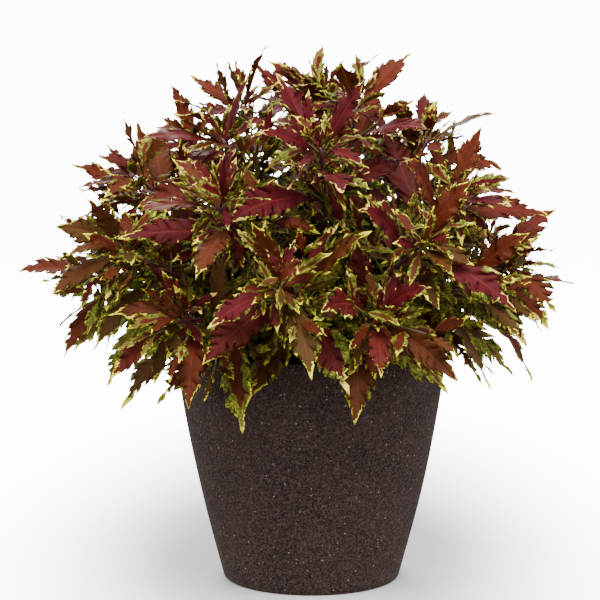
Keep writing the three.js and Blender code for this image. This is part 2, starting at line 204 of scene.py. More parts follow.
@dataclass(frozen=True)
class LeafTissue:
    """Living coleus leaf, grown: thin, soft and finely quilted between its veins.

    The upper face is a deep burgundy that turns brick and bronze with the leaf's tint, and breaks
    up into green and yellow at the teeth; the under face is bronze. Light passes through the
    blade and warms it against the light. Leaves deep in the foliage get painted shade: their
    colours are darkened and their yellow turned to lime by how deep they lie.
    """

    wine: str = "#38040a"
    crimson: str = "#580a12"
    brick: str = "#561f09"
    bronze: str = "#48300a"
    vein: str = "#8c2e28"
    green: str = "#46500c"
    lime: str = "#a6ac3c"
    olive: str = "#6e5420"
    yellow: str = "#fdf03c"
    cream: str = "#f8cc7c"
    under_red: str = "#562610"
    under_olive: str = "#5c4c18"
    under_vein: str = "#7c7a36"
    glow: str = "#a03014"
    # painted shade: the dark colours that leaves deep in the foliage are mixed towards
    painted_shade_core: str = "#43280f"
    painted_shade_green: str = "#523e12"
    roughness: float = 0.6  # a fine down of hairs: no wet gloss
    specular: float = 0.15
    thinness: float = 0.31  # share of the light that passes on through the blade
    brick_tints: tuple[float, float] = (0.38, 0.6)
    bronze_tints: tuple[float, float] = (0.62, 0.94)
    seam_mm: float = 9.0  # how wide the pale seam is where its noise is highest
    vein_pairs: float = 8.0
    vein_depth: float = 1.2  # over the height of the fields between the veins
    quilt_mm: float = 2.4  # width of the smallest fields between veins
    quilt_rise_mm: float = 0.35
    blotch_mm: float = 7.0
    patch_mm: float = 16.0
    cloud_mm: float = 34.0
    fleck_mm: float = 2.0

    def material(self) -> bpy.types.Material:
        """Makes the material.

        Returns:
            The material, dressed for its own finish.
        """
        t = Tree("coleus_leaf_tissue")
        add = t.add
        place = add("TexCoord", {}, out="Object")
        along = add("SeparateXYZ", {}, add("UVMap", {"uv_map": "leaf"}))
        side = add("Math", MINUS, along.node.outputs["Y"], 0.5)
        side = add("Math", {"operation": "ABSOLUTE"}, side)
        reach, rim, tint, age, shade, under = (
            add("Attribute", {"attribute_name": name}, out="Fac")
            for name in (*POINT_NUMBERS, "under")
        )
        blotch, patch, cloud, fleck = (
            add("TexNoise", {}, Vector=place, Scale=1 / (size * MM), Detail=2.0)
            for size in (self.blotch_mm, self.patch_mm, self.cloud_mm, self.fleck_mm)
        )
        # Where the green and the yellow begin: teeth and tip first, on paler leaves further in.
        ahead = add("Math", PLUS, reach, add("MapRange", EASED, along, 0.62, 0.97, 0.0, 0.66))
        starts = []
        for base, noise, strength in (
            (age, patch, -1.3),
            (add("MapRange", {}, age, 0.0, 1.2, 0.87, 1.1), blotch, -1.5),
        ):
            wander = add("Math", TIMES, add("Math", MINUS, noise, 0.5), strength)
            starts.append(add("Math", MINUS, ahead, add("Math", PLUS, base, wander)))
        green_share = add("MapRange", EASED, starts[0], -0.03, 0.12)
        blots = add("MapRange", EASED, starts[1], 0.0, 0.08)
        # A pale seam follows the edge here and there, mostly towards the tip, and is narrower on
        # leaves in painted shade.
        seam_width = add("MapRange", EASED, along, 0.3, 0.95, -1.5, -0.94)
        for lot in (blotch, add("Math", TIMES, patch, 0.6), add("Math", TIMES, fleck, 0.6)):
            seam_width = add("Math", PLUS, seam_width, lot)
        for factor in (
            self.seam_mm,
            add("MapRange", EASED, age, 0.0, 0.7, 0.1, 1.1),
            add("MapRange", EASED, age, 0.7, 1.05, 1.0, 0.25),
            add("MapRange", {}, shade, 0.0, 1.0, 1.0, 0.3),
        ):
            seam_width = add("Math", TIMES, seam_width, factor)
        seam = add("MapRange", EASED, add("Math", MINUS, rim, seam_width), 0.3, 0.0)
        # Painted shade: the yellow is dulled on leaves deep in the foliage.
        lit = add("MapRange", {}, shade, 0.0, 0.8, 1.0, 0.4)
        yellow_share = add("Math", TIMES, add("Math", LARGER, blots, seam), lit)
        # Side veins run along the sheet's own columns; the midrib is its middle line.
        ripple = add("Math", TIMES, along, self.vein_pairs)
        ripple = add("Math", {"operation": "PINGPONG"}, ripple, 0.5)
        side_vein = add("MapRange", EASED, ripple, 0.06, 0.0, 0.0, 0.3)
        veins = add("Math", LARGER, side_vein, add("MapRange", EASED, side, 0.035, 0.012))
        # Each colour is laid over the ones before it.
        core = add("MixRGB", {}, cloud, self.wine, self.crimson)
        for share, code in (
            (add("MapRange", EASED, tint, *self.brick_tints), self.brick),
            (add("MapRange", EASED, tint, *self.bronze_tints), self.bronze),
            (add("Math", TIMES, veins, 0.32), self.vein),
            # painted shade: leaves deep in the foliage are darkened
            (add("Math", TIMES, shade, 0.8), self.painted_shade_core),
        ):
            core = add("MixRGB", {}, share, core, code)
        leafy = add("MapRange", EASED, fleck, 0.35, 0.75)
        leafy = add("MixRGB", {}, leafy, self.green, self.lime)
        for share, code in (
            (add("MapRange", EASED, patch, 0.42, 0.56, 0.8, 0.0), self.olive),
            # painted shade on the green parts too
            (add("Math", TIMES, shade, 0.82), self.painted_shade_green),
        ):
            leafy = add("MixRGB", {}, share, leafy, code)
        pale = add("MapRange", EASED, tint, 0.0, 0.6)
        pale = add("MixRGB", {}, pale, self.cream, self.yellow)
        # painted shade: the pale parts turn lime deep in the foliage
        pale = add("MixRGB", {}, add("Math", TIMES, shade, 0.6), pale, self.lime)
        upper = add("MixRGB", {}, green_share, core, leafy)
        upper = add("MixRGB", {}, yellow_share, upper, pale)
        back = add("MapRange", EASED, tint, 0.5, 0.9)
        back = add("MixRGB", {}, back, self.under_red, self.under_olive)
        for share, over in (
            (add("Math", TIMES, veins, 0.6), self.under_vein),
            (green_share, leafy),
            (yellow_share, self.lime),
        ):
            back = add("MixRGB", {}, share, back, over)
        colour = add("MixRGB", {}, under, upper, back)
        glow = add("MixRGB", {}, green_share, self.glow, self.lime)
        glow = add("MixRGB", {}, yellow_share, glow, self.yellow)
        glow = add("MixRGB", {}, 0.6, glow, colour)
        quilt = add(
            "TexVoronoi",
            {"feature": "DISTANCE_TO_EDGE"},
            Vector=place,
            Scale=1 / (self.quilt_mm * MM),
            out="Distance",
        )
        furrow = add("Math", TIMES, veins, self.vein_depth)
        relief = add("Math", MINUS, add("MapRange", EASED, quilt, 0.0, 0.35), furrow)
        bump = add("Bump", {}, Strength=0.5, Distance=self.quilt_rise_mm * MM, Height=relief)
        gloss = {"Roughness": self.roughness, "Specular_IOR_Level": self.specular}
        skin = add("BsdfPrincipled", {}, colour, Normal=bump, **gloss)
        passed = add("BsdfTranslucent", {}, glow, Normal=bump)
        return t.finish(add("MixShader", {}, self.thinness, skin, passed))


@dataclass(frozen=True)
class StemSkin:
    """Skin of a square coleus stem, grown: green in the shade, flushed wine red at the tip."""

    green: str = "#4d5c1e"
    flush: str = "#421019"
    roughness: float = 0.55
    cloud_mm: float = 30.0
    fibre_mm: float = 3.0
    rib_mm: float = 0.3

    def material(self) -> bpy.types.Material:
        """Makes the material.

        Returns:
            The material, dressed for its own finish.
        """
        t = Tree("coleus_stem_skin")
        add = t.add
        place = add("TexCoord", {}, out="Object")
        cloud = add("TexNoise", {}, Vector=place, Scale=1 / (self.cloud_mm * MM), Detail=3.0)
        fibre = add("TexNoise", {}, Vector=place, Scale=1 / (self.fibre_mm * MM))
        height = add("Attribute", {"attribute_name": "age"}, out="Fac")
        height = add("MapRange", EASED, height, 0.15, 0.95)
        share = add("MapRange", EASED, add("Math", PLUS, height, cloud), 0.75, 1.3)
        colour = add("MixRGB", {}, share, self.green, self.flush)
        bump = add("Bump", {}, Strength=0.3, Distance=self.rib_mm * MM, Height=fibre)
        return t.finish(add("BsdfPrincipled", {}, colour, Roughness=self.roughness, Normal=bump))


@dataclass(frozen=True)
class CastStone:
    """Fibre-reinforced stone composite, cast in a mould and brushed.

    It is matt and grainy: short pale fibres and grit show in a dark brown binder, with a few
    bright chips and small open pores, which are coloured near-black as painted shade.
    """

    binder: str = "#150d0c"
    warm: str = "#20160e"
    fibre: str = "#56433d"
    chip: str = "#a4948a"
    # painted shade: the near-black that fills the pores stands for the shadow in them
    pore: str = "#040303"
    roughness: float = 0.88
    specular: float = 0.2
    cloud_mm: float = 45.0
    fibre_mm: float = 2.1  # spacing of the fibres; drawn a little coarse so that they show
    grit_mm: float = 1.7
    grain_rise_mm: float = 0.5
    chip_mm: float = 3.6
    chip_share: float = 0.24  # share of the cells that hold a chip
    chip_radius: float = 0.23  # over its cell
    pore_mm: float = 3.4
    pore_share: float = 0.4
    pore_radius: float = 0.3

    def material(self) -> bpy.types.Material:
        """Makes the material.

        Returns:
            The material, dressed for its own finish.
        """
        t = Tree("cast_stone_composite")
        add = t.add
        place = add("TexCoord", {}, out="Object")
        cloud = add("TexNoise", {}, Vector=place, Scale=1 / (self.cloud_mm * MM), Detail=3.0)
        grit = add("TexNoise", {}, Vector=place, Scale=1 / (self.grit_mm * MM), Detail=2.0)
        grit = add("MapRange", EASED, grit, 0.46, 0.64)
        worm = {"Scale": 1 / (self.fibre_mm * MM), "Detail": 2.0, "Distortion": 1.4}
        fibres = add("TexNoise", {}, Vector=place, **worm)
        fibres = add("MapRange", EASED, fibres, 0.47, 0.66)
        # A chip or a pore shows only in the few cells whose own draw is high.
        spots = []
        for size, share, radius in (
            (self.chip_mm, self.chip_share, self.chip_radius),
            (self.pore_mm, self.pore_share, self.pore_radius),
        ):
            spot = add("TexVoronoi", {}, Vector=place, Scale=1 / (size * MM))
            lot = add("SeparateColor", {}, spot.node.outputs["Color"])
            near = add("MapRange", EASED, spot, radius, radius * 0.4)
            spots.append(add("Math", TIMES, add("MapRange", EASED, lot, 1 - share, 1.0), near))
        chip, pore = spots
        colour = add("MapRange", EASED, cloud, 0.4, 0.6)
        colour = add("MixRGB", {}, colour, self.binder, self.warm)
        for layer, code in (
            (add("Math", TIMES, fibres, 0.7), self.fibre),
            (add("Math", TIMES, grit, 0.4), self.fibre),
            # painted shade in the pores
            (pore, self.pore),
            (chip, self.chip),
        ):
            colour = add("MixRGB", {}, layer, colour, code)
        height = add("Math", PLUS, add("Math", TIMES, fibres, 0.5), add("Math", TIMES, grit, 0.6))
        height = add("Math", MINUS, height, add("Math", TIMES, pore, 1.5))
        bump = add("Bump", {}, Strength=0.6, Distance=self.grain_rise_mm * MM, Height=height)
        gloss = {"Roughness": self.roughness, "Specular_IOR_Level": self.specular}
        return t.finish(add("BsdfPrincipled", {}, colour, Normal=bump, **gloss))


@dataclass(frozen=True)
class PeatMix:
    """Damp potting mix, sieved: dark fibrous crumbs with pale grains of perlite."""

    damp: str = "#130c08"
    crumb: str = "#33241a"
    roughness: float = 0.95
    crumb_mm: float = 4.0
    crumb_rise_mm: float = 1.5

    def material(self) -> bpy.types.Material:
        """Makes the material.

        Returns:
            The material, dressed for its own finish.
        """
        t = Tree("damp_peat_mix")
        add = t.add
        place = add("TexCoord", {}, out="Object")
        crumbs = add("TexNoise", {}, Vector=place, Scale=1 / (self.crumb_mm * MM), Detail=5.0)
        colour = add("MapRange", EASED, crumbs, 0.35, 0.7)
        colour = add("MixRGB", {}, colour, self.damp, self.crumb)
        bump = add("Bump", {}, Strength=0.8, Distance=self.crumb_rise_mm * MM, Height=crumbs)
        return t.finish(add("BsdfPrincipled", {}, colour, Roughness=self.roughness, Normal=bump))


@dataclass(frozen=True)
class Perlite:
    """Expanded volcanic glass, as sold: chalk-white, matt grains."""

    white: str = "#b3ada0"
    pitted: str = "#8b8376"
    roughness: float = 0.9
    pit_mm: float = 1.2

    def material(self) -> bpy.types.Material:
        """Makes the material.

        Returns:
            The material, dressed for its own finish.
        """
        t = Tree("expanded_perlite")
        place = t.add("TexCoord", {}, out="Object")
        pits = t.add("TexNoise", {}, Vector=place, Scale=1 / (self.pit_mm * MM))
        colour = t.add("MixRGB", {}, pits, self.white, self.pitted)
        return t.finish(t.add("BsdfPrincipled", {}, colour, Roughness=self.roughness))


# ------------------------------------------------------------------ meshes


def make_piece(
    name: str,
    points: Array,
    faces: Sequence[Sequence[int]],
    materials: Iterable[bpy.types.Material],
) -> bpy.types.Object:
    """Makes a smooth mesh object from points in millimetres.

    Args:
        name: The piece's name.
        points: One row for each vertex.
        faces: Vertex numbers of each face, turning left seen from outside.
        materials: The piece's materials in the order of their slots.

    Returns:
        The object, linked to the scene.
    """
    mesh = bpy.data.meshes.new(name)
    mesh.from_pydata((points * MM).tolist(), [], faces)
    for material in materials:
        mesh.materials.append(material)
    mesh.shade_smooth()
    piece = bpy.data.objects.new(name, mesh)
    bpy.context.scene.collection.objects.link(piece)
    return piece


def add_numbers(mesh: bpy.types.Mesh, name: str, domain: str, values: Array) -> None:
    """Stores one number for each point or face of a mesh."""
    layer = mesh.attributes.new(name, "FLOAT", domain)
    layer.data.foreach_set("value", values.astype(np.float32))


def add_uv(mesh: bpy.types.Mesh, name: str, values: Array) -> None:
    """Stores a UV map, one row for each face corner."""
    layer = mesh.uv_layers.new(name=name)
    layer.data.foreach_set("uv", values.astype(np.float32).ravel())


def hand_over(piece: bpy.types.Object, node: str) -> None:
    """Lets a piece ride on the plant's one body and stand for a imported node.

    Args:
        piece: The piece.
        node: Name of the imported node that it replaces.
    """
    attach(piece, "root")
    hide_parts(node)
    own = np.array(piece.bound_box)
    low, high = (np.array(list(corner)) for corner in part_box(node))
    proud = np.round(np.array([low - own.min(0), own.max(0) - high]) / MM, 1).tolist()
    faces = len(piece.data.polygons)
    LOG.info("%s: %d faces, beyond its solid by %s mm", piece.name, faces, proud)


def turned(profile: Sequence[tuple[float, float]], sides: int) -> tuple[Array, list[list[int]]]:
    """Turns a profile that starts and ends on the axis round it.

    Args:
        profile: Radius and height of each point, from the bottom round the outside.
        sides: Number of steps round the axis.

    Returns:
        The points and faces of the closed body.
    """
    angles = np.arange(sides) * FULL_TURN / sides
    rings = [
        np.stack([r * np.cos(angles), r * np.sin(angles), np.full(sides, z)], 1)
        for r, z in profile[1:-1]
    ]
    points = np.concatenate([*rings, [[0, 0, profile[0][1]]], [[0, 0, profile[-1][1]]]])
    first, last = len(points) - 2, len(points) - 1
    top = (len(rings) - 1) * sides
    faces: list[list[int]] = []
    for k in range(sides):
        n = (k + 1) % sides
        faces.append([first, n, k])
        for a in range(0, top, sides):
            faces.append([a + k, a + n, a + sides + n, a + sides + k])
        faces.append([top + k, top + n, last])
    return points, faces


def arc(r: float, z: float, radius: float, turns: Iterable[float]) -> list[tuple[float, float]]:
    """Gives points of a rounded edge.

    Args:
        r: Radius of the edge's centre.
        z: Height of the edge's centre.
        radius: Radius of the rounding.
        turns: Each point's angle, counted from the outside up, in eighths of a half circle.

    Returns:
        Radius and height of each point.
    """
    angles = [math.pi / 8 * k for k in turns]
    return [(r + radius * math.cos(a), z + radius * math.sin(a)) for a in angles]


# ------------------------------------------------------------------ pot and potting mix


@dataclass
class Pot:
    """A tapered round pot with a slightly bellied wall and a plain rounded rim."""

    height: float = 235
    rim_radius: float = 135
    foot_radius: float = 88
    swell: float = 1.4
    wall: float = 9
    floor: float = 11
    rim_round: float = 3
    foot_round: float = 3
    drain_holes: int = 4
    drain_radius: float = 6
    drain_circle: float = 42
    sides: int = 192
    rings: int = 48
    finish: CastStone = field(default_factory=CastStone)

    def radius(self, z: float) -> float:
        """Gives the outer radius at a height."""
        rise = min(max(z / self.height, 0), 1)
        swell = 1 - (1 - rise) ** self.swell
        return self.foot_radius + (self.rim_radius - self.foot_radius) * swell

    def profile(self) -> list[tuple[float, float]]:
        """Gives the profile from the underside's centre, over the rim, to the floor's centre.

        Returns:
            Radius and height of each point.
        """
        low, high = self.foot_round, self.height - self.rim_round
        foot, rim = self.foot_radius - low, self.rim_radius - self.rim_round
        inner_rim = self.rim_radius - self.wall + self.rim_round
        heights = [float(z) for z in np.linspace(low, high, self.rings)]
        return [
            (0.0, 0.0),
            (self.drain_circle + 12, 0.0),
            (foot, 0.0),
            *arc(foot, low, self.foot_round, range(-3, 0)),
            *((self.radius(z), z) for z in heights),
            *arc(rim, high, self.rim_round, range(1, 5)),
            *arc(inner_rim, high, self.rim_round, range(4, 9)),
            *((self.radius(z) - self.wall, z) for z in heights[::-4] if z > self.floor + 4),
            (self.radius(self.floor) - self.wall - 4, self.floor),
            (0.0, self.floor),
        ]

    def build(self) -> bpy.types.Object:
        """Makes the pot with its drain holes.

        Returns:
            The pot's piece.
        """
        points, faces = turned(self.profile(), self.sides)
        # The mould and the brushing leave the wall very slightly uneven.
        x, y, z = points.T
        angle, radius = np.arctan2(y, x), np.hypot(x, y)
        wave = 0.25 * np.sin(3 * angle + z / 40) + 0.15 * np.sin(7 * angle - z / 23)
        scale = 1 + wave * smoothstep(6, 20, z) * (radius > 1) / np.maximum(radius, 1)
        points[:, :2] *= scale[:, None]
        pot = make_piece("pot_shell", points, faces, [self.finish.material()])
        self.drill(pot)
        hand_over(pot, "pot")
        return pot

    def drill(self, pot: bpy.types.Object) -> None:
        """Cuts the drain holes through the floor.

        Args:
            pot: The pot's piece.
        """
        low, high = -5, self.floor + 5
        bore = [(0, low), (self.drain_radius, low), (self.drain_radius, high), (0, high)]
        points, faces = turned(bore, 24)
        for i in range(self.drain_holes):
            angle = (i + 0.5) / self.drain_holes * FULL_TURN
            centre = np.array([math.cos(angle), math.sin(angle), 0]) * self.drain_circle
            cutter = make_piece("drain_cutter", points + centre, faces, [])
            cut = pot.modifiers.new("drain", "BOOLEAN")
            cut.operation, cut.solver, cut.object = "DIFFERENCE", "EXACT", cutter
            with bpy.context.temp_override(object=pot, active_object=pot):
                bpy.ops.object.modifier_apply(modifier=cut.name)
            bpy.data.objects.remove(cutter)


@dataclass
class PottingMix:
    """The mix that fills the pot, crumbly on top, with grains of perlite."""

    pot: Pot
    below_rim: float = 20
    crown: float = 5
    clearance: float = 0.35
    base_circle: float = 59
    shoulder: float = 12  # how far past the stems the mix stays level
    sides: int = 96
    rings: int = 34
    crumb_height: float = 0.9
    crumb_wave: float = 38
    grains: int = 260
    grain_sizes: tuple[float, float] = (1.2, 3.4)
    perlite_share: float = 0.3
    finish: PeatMix = field(default_factory=PeatMix)
    grain_finish: Perlite = field(default_factory=Perlite)

    @property
    def level(self) -> float:
        """Height of the mix at the wall."""
        return self.pot.height - self.below_rim

    @property
    def top(self) -> float:
        """Height of the mix round the stems."""
        return self.level + self.crown

    def surface(self, radius: Array | float) -> Array:
        """Gives the height of the mix at a distance from the axis."""
        outer = self.pot.radius(self.level) - self.pot.wall
        inner = self.base_circle + self.shoulder
        return self.top - self.crown * np.clip((radius - inner) / (outer - inner), 0, 1)

    def build(self) -> bpy.types.Object:
        """Makes the mix with its crumbs and grains.

        Returns:
            The mix's piece.
        """
        inset = self.pot.wall + 2 * self.clearance + 0.8
        low = self.pot.floor + self.clearance
        heights = np.linspace(low, self.level, 6)
        outer = self.pot.radius(self.level) - inset
        radii = np.linspace(outer, 0, self.rings + 1)[1:]
        points, faces = turned(
            [
                (0.0, low),
                *((self.pot.radius(z) - inset, float(z)) for z in heights),
                *((float(r), float(self.surface(r))) for r in radii),
            ],
            self.sides,
        )
        x, y, z = points.T
        crumbly = (z > self.level + 0.1) * smoothstep(0, 6, outer - np.hypot(x, y))
        for k in range(1, 6):
            wave = FULL_TURN * k / self.crumb_wave
            phase = [PHASES * draw(900 + k, c) for c in range(3)]
            ridge = np.sin(wave * x * 1.3 + phase[0] + 2 * np.sin(y / 9 + phase[2]))
            ridge *= np.sin(wave * y + phase[1])
            points[:, 2] += crumbly * self.crumb_height / k * ridge
        bodies, slots, count = [points], [0] * len(faces), len(points)
        for i in range(self.grains):
            body, sides = self.grain(i)
            faces += [[v + count for v in side] for side in sides]
            slots += [int(draw(700, i, 9) < self.perlite_share)] * len(sides)
            bodies.append(body)
            count += len(body)
        finishes = [self.finish.material(), self.grain_finish.material()]
        piece = make_piece("mix_surface", np.concatenate(bodies), faces, finishes)
        piece.data.polygons.foreach_set("material_index", slots)
        hand_over(piece, "potting_mix")
        return piece

    def grain(self, number: int) -> tuple[Array, list[list[int]]]:
        """Makes one crumb or grain, sunk a little into the surface.

        Args:
            number: The grain's own number.

        Returns:
            Its points and faces.
        """
        key = functools.partial(draw, 700, number)
        size = mix(*self.grain_sizes, key(1) ** 2)
        radius = (self.pot.radius(self.level) - self.pot.wall - 6) * math.sqrt(key(2))
        angle = FULL_TURN * key(3)
        shape = ((0, -1), (0.8, -0.5), (1, 0.1), (0.6, 0.7), (0, 1))
        points, faces = turned([(size * r, size * z) for r, z in shape], 7)
        rough = np.array([1 + 0.28 * (2 * key(10 + i) - 1) for i in range(len(points))])
        height = self.surface(radius) + 0.5
        centre = [radius * math.cos(angle), radius * math.sin(angle), height]
        return points * rough[:, None] * [1, 0.8, 0.7] + centre, faces


# ------------------------------------------------------------------ courses of stems and leaves


@dataclass(frozen=True)
class PairRule:
    """A pair of leaves: its place up the stem, its size and its angle to the stem."""

    at: float
    length: float
    spread: float
    petiole_half: float
    teeth: int = 7


PAIRS = (
    PairRule(0.97, 84, 46, 1.1, 5),
    PairRule(0.86, 108, 62, 1.3, 6),
    PairRule(0.74, 118, 70, 1.4, 7),
    PairRule(0.58, 118, 74, 1.4, 7),
    PairRule(0.42, 108, 76, 1.4, 6),
)


class Mark(Enum):
    """What a point in the room belongs to."""

    STALK = "stalk"
    ROOT = "root"
    LEAF = "leaf"


@dataclass
class Course:
    """The line that a stem follows, as straight steps, with the frame of its square section."""

    index: int
    share: float
    length: float
    points: list[Array]
    frames: list[tuple[Array, Array]]  # the stem's axis and its section's side
    steps: int

    def along(self, share: float) -> tuple[Array, Array, Array]:
        """Gives the place, the axis and the section's side at a share of the way to the tip."""
        x = share * self.steps
        step = min(math.floor(x), self.steps - 1)
        low, high = self.points[step + 1], self.points[step + 2]
        return low + (high - low) * (x - step), unit(high - low), self.frames[step + 1][1]


@dataclass(frozen=True)
class Pose:
    """How a leaf leaves its stem, and how it bends and turns from there."""

    place: Array
    heading: Array
    light: Array
    droop: float
    roll: float
    twist: float


@dataclass
class Leaf:
    """One leaf as stations along its rib."""

    rule: PairRule
    length: float
    half_width: float
    fold: float
    petiole_share: float
    keys: tuple[int, ...]
    place: Array
    face: Array
    right: Array

    def envelope(self, s: Array) -> Array:
        """Gives half the width of the blade's outer envelope, before it is cut."""
        u = np.clip((s - self.petiole_share) / (1 - self.petiole_share), 0, 1)
        swell = 4.06 * u * (1 - u) ** 1.02
        petiole = self.rule.petiole_half
        blade = np.maximum(self.half_width * swell, petiole * (1 - u))
        return np.where(s <= self.petiole_share, petiole, blade)

    def point(self, s: Array, across: Array, lift: Array | float = 0.0) -> Array:
        """Gives points of the leaf.

        Args:
            s: Each point's place along the rib.
            across: How far it lies to the right of the rib.
            lift: How far it lies off the leaf's face.

        Returns:
            The points.
        """
        steps = len(self.place) - 1
        low = np.minimum((s * steps).astype(int), steps - 1)
        rest = (s * steps - low)[:, None]
        place, right, face = (
            rows[low] + (rows[low + 1] - rows[low]) * rest
            for rows in (self.place, self.right, self.face)
        )
        rise = lift + self.fold * np.abs(across)
        return place + right * across[:, None] + face * rise[:, None]


@dataclass
class GrowthRule:
    """The seeded rule by which the stems and their large leaves grow."""

    count: int = 29
    stem_length: tuple[float, float] = (268, 157)
    length_spread: float = 12
    lopside: float = 0.08
    drift: float = -0.12
    base_circle: float = 59
    greatest_lean: float = 97.5
    lean_growth: float = 1.25
    start_lean: float = 0.54
    sway: float = 24
    foot_half: float = 3.1
    tip_half: float = 1.5
    rooted: float = 26
    steps: int = 4
    width_share: float = 0.15
    petiole_share: float = 0.17
    fold: float = 0.2
    droop: tuple[float, float] = (0.005, 0.007)
    outward: float = 0.28
    skyward: float = 0.36
    frontward: float = 0.5
    leaf_steps: int = 12
    gap_other: float = 8
    gap_same: float = 5
    gap_stalk: float = 7
    gap_wall: float = 5
    tries: int = 14
    root_share: float = 0.34

    def course(self, index: int, top: float) -> Course:
        """Works out the line of one stem.

        Args:
            index: The stem's number from the middle out.
            top: Height of the mix round the stems.

        Returns:
            The stem's course.
        """
        key = functools.partial(spread_draw, index)
        share = math.sqrt((index + 0.5) / self.count)
        azimuth = index * GOLDEN_ANGLE + math.radians(40)
        lean = math.radians(self.greatest_lean) * share**self.lean_growth * (1 + 0.08 * key(1))
        lopside = 1 - self.lopside * share * math.cos(azimuth)
        length = mix(*self.stem_length, share**2) * lopside + self.length_spread * key(2)
        sway = math.radians(self.sway) * key(3)
        square = math.radians(45 + 25 * key(4))
        foot = np.array([math.cos(azimuth), math.sin(azimuth), 0.0]) * self.base_circle * share
        foot[2] = top
        frames = []
        for s in (step / self.steps for step in range(self.steps + 1)):
            tilt, turn = mix(self.start_lean * lean, lean, s), azimuth + sway * s
            reach = math.sin(tilt)
            x, y = reach * math.cos(turn) + self.drift * s, reach * math.sin(turn)
            axis = unit(np.array([x, y, math.cos(tilt)]))
            level = np.array([-math.sin(turn), math.cos(turn), 0.0])
            level = unit(level - axis * float(axis @ level))
            frames.append((axis, swing(level, np.cross(axis, level), square)))
        points = [foot - frames[0][0] * self.rooted, foot]
        for axis, _ in frames[:-1]:
            points.append(points[-1] + axis * (length / self.steps))
        return Course(index, share, length, points, [frames[0], *frames], self.steps)

    def leaf(
        self, course: Course, rule: PairRule, order: int, side: int, attempt: int, heart: Array
    ) -> Leaf:
        """Works out one leaf of a pair; later attempts turn it further aside.

        Args:
            course: The stem's course.
            rule: The pair's rule.
            order: The pair's number from the top.
            side: 0 or 1, for the two leaves of the pair.
            attempt: How many places were tried before.
            heart: The point that the leaves turn away from.

        Returns:
            The leaf.
        """
        keys = (course.index, order, side, attempt)
        key = functools.partial(spread_draw, course.index, order, side)
        looser = 1 + 0.35 * attempt
        place, axis, across = course.along(rule.at)
        around = math.radians(90 * order + 180 * side + 12 * looser * key(1, attempt))
        spread = math.radians(rule.spread + 8 * looser * key(2, attempt))
        heading = (
            axis * math.cos(spread)
            + across * (math.sin(spread) * math.cos(around))
            + np.cross(axis, across) * (math.sin(spread) * math.sin(around))
        )
        outward = unit(place - heart)
        length = rule.length * ((1 + 0.12 * key(3, attempt)) * (1 - 0.03 * attempt))
        half_width = length * self.width_share * (1 + 0.14 * key(4, attempt))
        pose = Pose(
            place,
            unit(heading + outward * self.outward),
            outward + (UP - outward) * self.skyward + FRONT * self.frontward,
            mix(*self.droop, course.share) * (1 + 0.4 * key(6, attempt)),
            math.radians(20 * key(7, attempt)),
            math.radians(26 * key(8, attempt)),
        )
        fold = self.fold * (1 + 0.6 * key(5, attempt))
        return self.grow(rule, length, half_width, fold, keys, pose)

    def grow(
        self,
        rule: PairRule,
        length: float,
        half_width: float,
        fold: float,
        keys: tuple[int, ...],
        pose: Pose,
    ) -> Leaf:
        """Runs a leaf out from its root, drooping and turning its face to the light.

        Args:
            rule: The pair's rule.
            length: The leaf's length.
            half_width: Half its blade's width.
            fold: Rise of its face over the way from the rib.
            keys: Its own keys for draws.
            pose: How it leaves its stem.

        Returns:
            The leaf.
        """
        step = length / self.leaf_steps
        at, heading, rows = pose.place.copy(), pose.heading, []
        for i in range(self.leaf_steps + 1):
            normal = unit(pose.light - heading * float(pose.light @ heading))
            angle = pose.roll + pose.twist * i / self.leaf_steps
            face = swing(normal, np.cross(heading, normal), angle)
            rows.append((at, face, np.cross(heading, face)))
            at = at + heading * step
            heading = unit(heading - UP * pose.droop * step)
        stations = (np.array(row) for row in zip(*rows))
        return Leaf(rule, length, half_width, fold, self.petiole_share, keys, *stations)


@dataclass
class Room:
    """Points of everything placed so far, in cubic cells."""

    rule: GrowthRule
    pot: Pot
    mix_top: float
    cells: dict[tuple[int, ...], list[tuple[float, float, float, int, Mark]]] = field(
        default_factory=dict
    )

    def cell(self, point: Array) -> tuple[int, ...]:
        """Gives the cell that a point lies in."""
        return tuple(math.floor(float(v) / self.rule.gap_other) for v in point)

    def add(self, point: Array, stem: int, mark: Mark) -> None:
        """Remembers a point."""
        x, y, z = (float(v) for v in point)
        self.cells.setdefault(self.cell(point), []).append((x, y, z, stem, mark))

    def free(self, point: Array, stem: int, near_root: bool) -> bool:
        """Tells whether a leaf's point keeps its distance from all that is placed.

        Args:
            point: The point.
            stem: Number of the leaf's own stem.
            near_root: Whether the point may come near its own stem.

        Returns:
            Whether the place is free.
        """
        x, y, z = (float(v) for v in point)
        near = ((v - 1, v, v + 1) for v in self.cell(point))
        for cell in itertools.product(*near):
            for px, py, pz, other, mark in self.cells.get(cell, ()):
                if other == stem:
                    gap = 0.0 if near_root and mark is not Mark.LEAF else self.rule.gap_same
                else:
                    gap = self.rule.gap_stalk if mark is Mark.STALK else self.rule.gap_other
                if (px - x) ** 2 + (py - y) ** 2 + (pz - z) ** 2 < gap * gap:
                    return False
        return True

    def clear_of_pot(self, point: Array) -> bool:
        """Tells whether a point keeps off the pot and the mix.

        Args:
            point: The point.

        Returns:
            Whether it is clear of both.
        """
        gap = self.rule.gap_wall
        if point[2] > self.pot.height + gap:
            return True
        radius = math.hypot(point[0], point[1])
        if radius > self.pot.radius(float(point[2])) + gap:
            return True
        inside = radius < self.pot.rim_radius - self.pot.wall - gap
        return inside and point[2] > self.mix_top + gap


# ------------------------------------------------------------------ fine leaves

STALK_COLUMNS = 4  # columns along a leaf: its stalk, four for each tooth, and its tip
TOOTH_COLUMNS = 4
TIP_COLUMNS = 3


@dataclass(frozen=True)
class SheetPlan:
    """How finely a leaf's two faces are divided: teeth on a side and steps across a half."""

    teeth: int
    across: tuple[float, ...]


